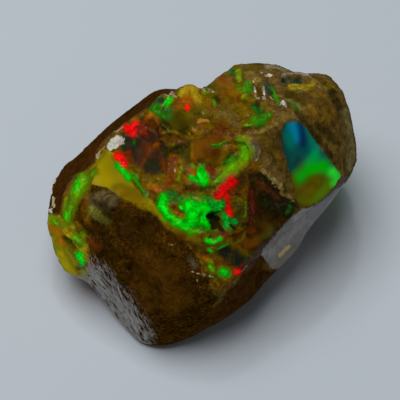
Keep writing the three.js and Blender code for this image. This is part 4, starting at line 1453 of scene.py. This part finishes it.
def grainTree(name, values):
    tree = newTree(name, values)
    shape = Shape(tree)
    given = shape.add("NodeGroupInput").outputs
    where = shape.field(given["Where"])
    place = shape.add("GeometryNodeInputPosition").outputs[0]
    clumps = shape.between(shape.swell(place, grains["clump"], given["Seed"]), *grains["clumpEdge"])
    density = shape.math("MULTIPLY", shape.math("MULTIPLY", where, clumps), given["Grains Each Square Metre"])
    spread = shape.add("GeometryNodeDistributePointsOnFaces", {"Mesh": given["Geometry"], "Density": density,
                                                               "Seed": given["Seed"]})
    grain = shape.add("GeometryNodeMeshIcoSphere", {"Radius": given["Grain Size"], "Subdivisions": 1})
    seed, nextSeed = given["Seed"], shape.math("ADD", given["Seed"], 1)
    form = shape.chance("FLOAT_VECTOR", grains["least"], grains["most"], seed)
    low, high, power = grains["fewLarge"]
    few = shape.math("POWER", shape.chance("FLOAT", low, high, nextSeed), power)
    size = shape.scale(form, shape.math("MULTIPLY_ADD", few, *grains["sizeRange"]))
    turn = shape.chance("FLOAT_VECTOR", (0.0, 0.0, 0.0), grains["fullTurn"], seed)
    settings = {"Points": spread.outputs["Points"], "Instance": grain.outputs["Mesh"],
                "Rotation": turn, "Scale": size}
    placed = shape.add("GeometryNodeInstanceOnPoints", settings)
    real = shape.add("GeometryNodeRealizeInstances", {"Geometry": placed.outputs[0]})
    dressed = shape.add("GeometryNodeSetMaterial", {"Geometry": real.outputs[0], "Material": given["Finish"]})
    joined = shape.add("GeometryNodeJoinGeometry")
    shape.feed(joined.inputs[0], given["Geometry"])
    shape.feed(joined.inputs[0], dressed.outputs[0])
    shape.add("NodeGroupOutput", {"Geometry": joined.outputs[0]})
    return tree


def grainFinish(name):
    material, paint, surface = newFinish(name)
    colour, other, roughness = grainFinishes[name]
    paint.feed(surface["Base Color"], paint.mix(paint.mottle("grainPatch"), colour, other))
    wear = paint.cloud(*grains["wearCloud"])
    paint.feed(surface["Roughness"], paint.blendValue(wear, roughness, roughness + grains["wearGain"]))
    return material


layGrit(opal.data)
sugarGrains["Finish"], crumbGrains["Finish"] = grainFinish("sugar crystal"), grainFinish("ochre crumb")
addTree(opal, grainTree("sugar grains", sugarGrains), sugarGrains)
addTree(opal, grainTree("crumb grains", crumbGrains), crumbGrains)
print("grains laid:", sum(len(face.vertices) - 2 for face in opal.data.polygons), "triangles")

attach(opal, "root")
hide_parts("rough_opal")

# The floor and the light: a pale floor, a broad soft key above, a small lamp for sparks, and a dim room.
studio = {
    "floorSize": 3,
    "floorColour": (0.74, 0.81, 0.88),
    "floorRoughness": 0.8,
    "keyPlace": (-0.05, 0.10, 0.50),
    "keySize": 0.35,
    "keyPower": 1.5,
    "lampPlace": (0.10, 0.16, 0.45),
    "lampSize": 0.03,
    "lampPower": 0.10,
    "roomColour": (0.90, 0.95, 1.0),
    "roomStrength": 0.08,
}


def makeStudio():
    half = studio["floorSize"] / 2
    mesh = bpy.data.meshes.new("floor")
    corners = [(-half, -half, 0), (half, -half, 0), (half, half, 0), (-half, half, 0)]
    mesh.from_pydata(corners, [], [(0, 1, 2, 3)])
    floor = linkPiece("floor", mesh)
    card = bpy.data.materials.new("pale card")
    card.use_nodes = True
    surface = card.node_tree.nodes["Principled BSDF"]
    surface.inputs["Base Color"].default_value = (*studio["floorColour"], 1)
    surface.inputs["Roughness"].default_value = studio["floorRoughness"]
    mesh.materials.append(card)
    for name in ("key", "lamp"):
        light = bpy.data.lights.new(name, "AREA")
        light.size, light.energy = studio[name + "Size"], studio[name + "Power"]
        source = bpy.data.objects.new(name, light)
        source.location = studio[name + "Place"]
        source.rotation_euler = (-Vector(studio[name + "Place"])).to_track_quat("-Z", "Y").to_euler()
        bpy.context.scene.collection.objects.link(source)
    room = bpy.data.worlds.new("room")
    room.use_nodes = True
    sky = room.node_tree.nodes["Background"]
    sky.inputs["Color"].default_value = (*studio["roomColour"], 1)
    sky.inputs["Strength"].default_value = studio["roomStrength"]
    bpy.context.scene.world = room
    bpy.context.scene.view_settings.view_transform = "Standard"


makeStudio()
print("studio lit")
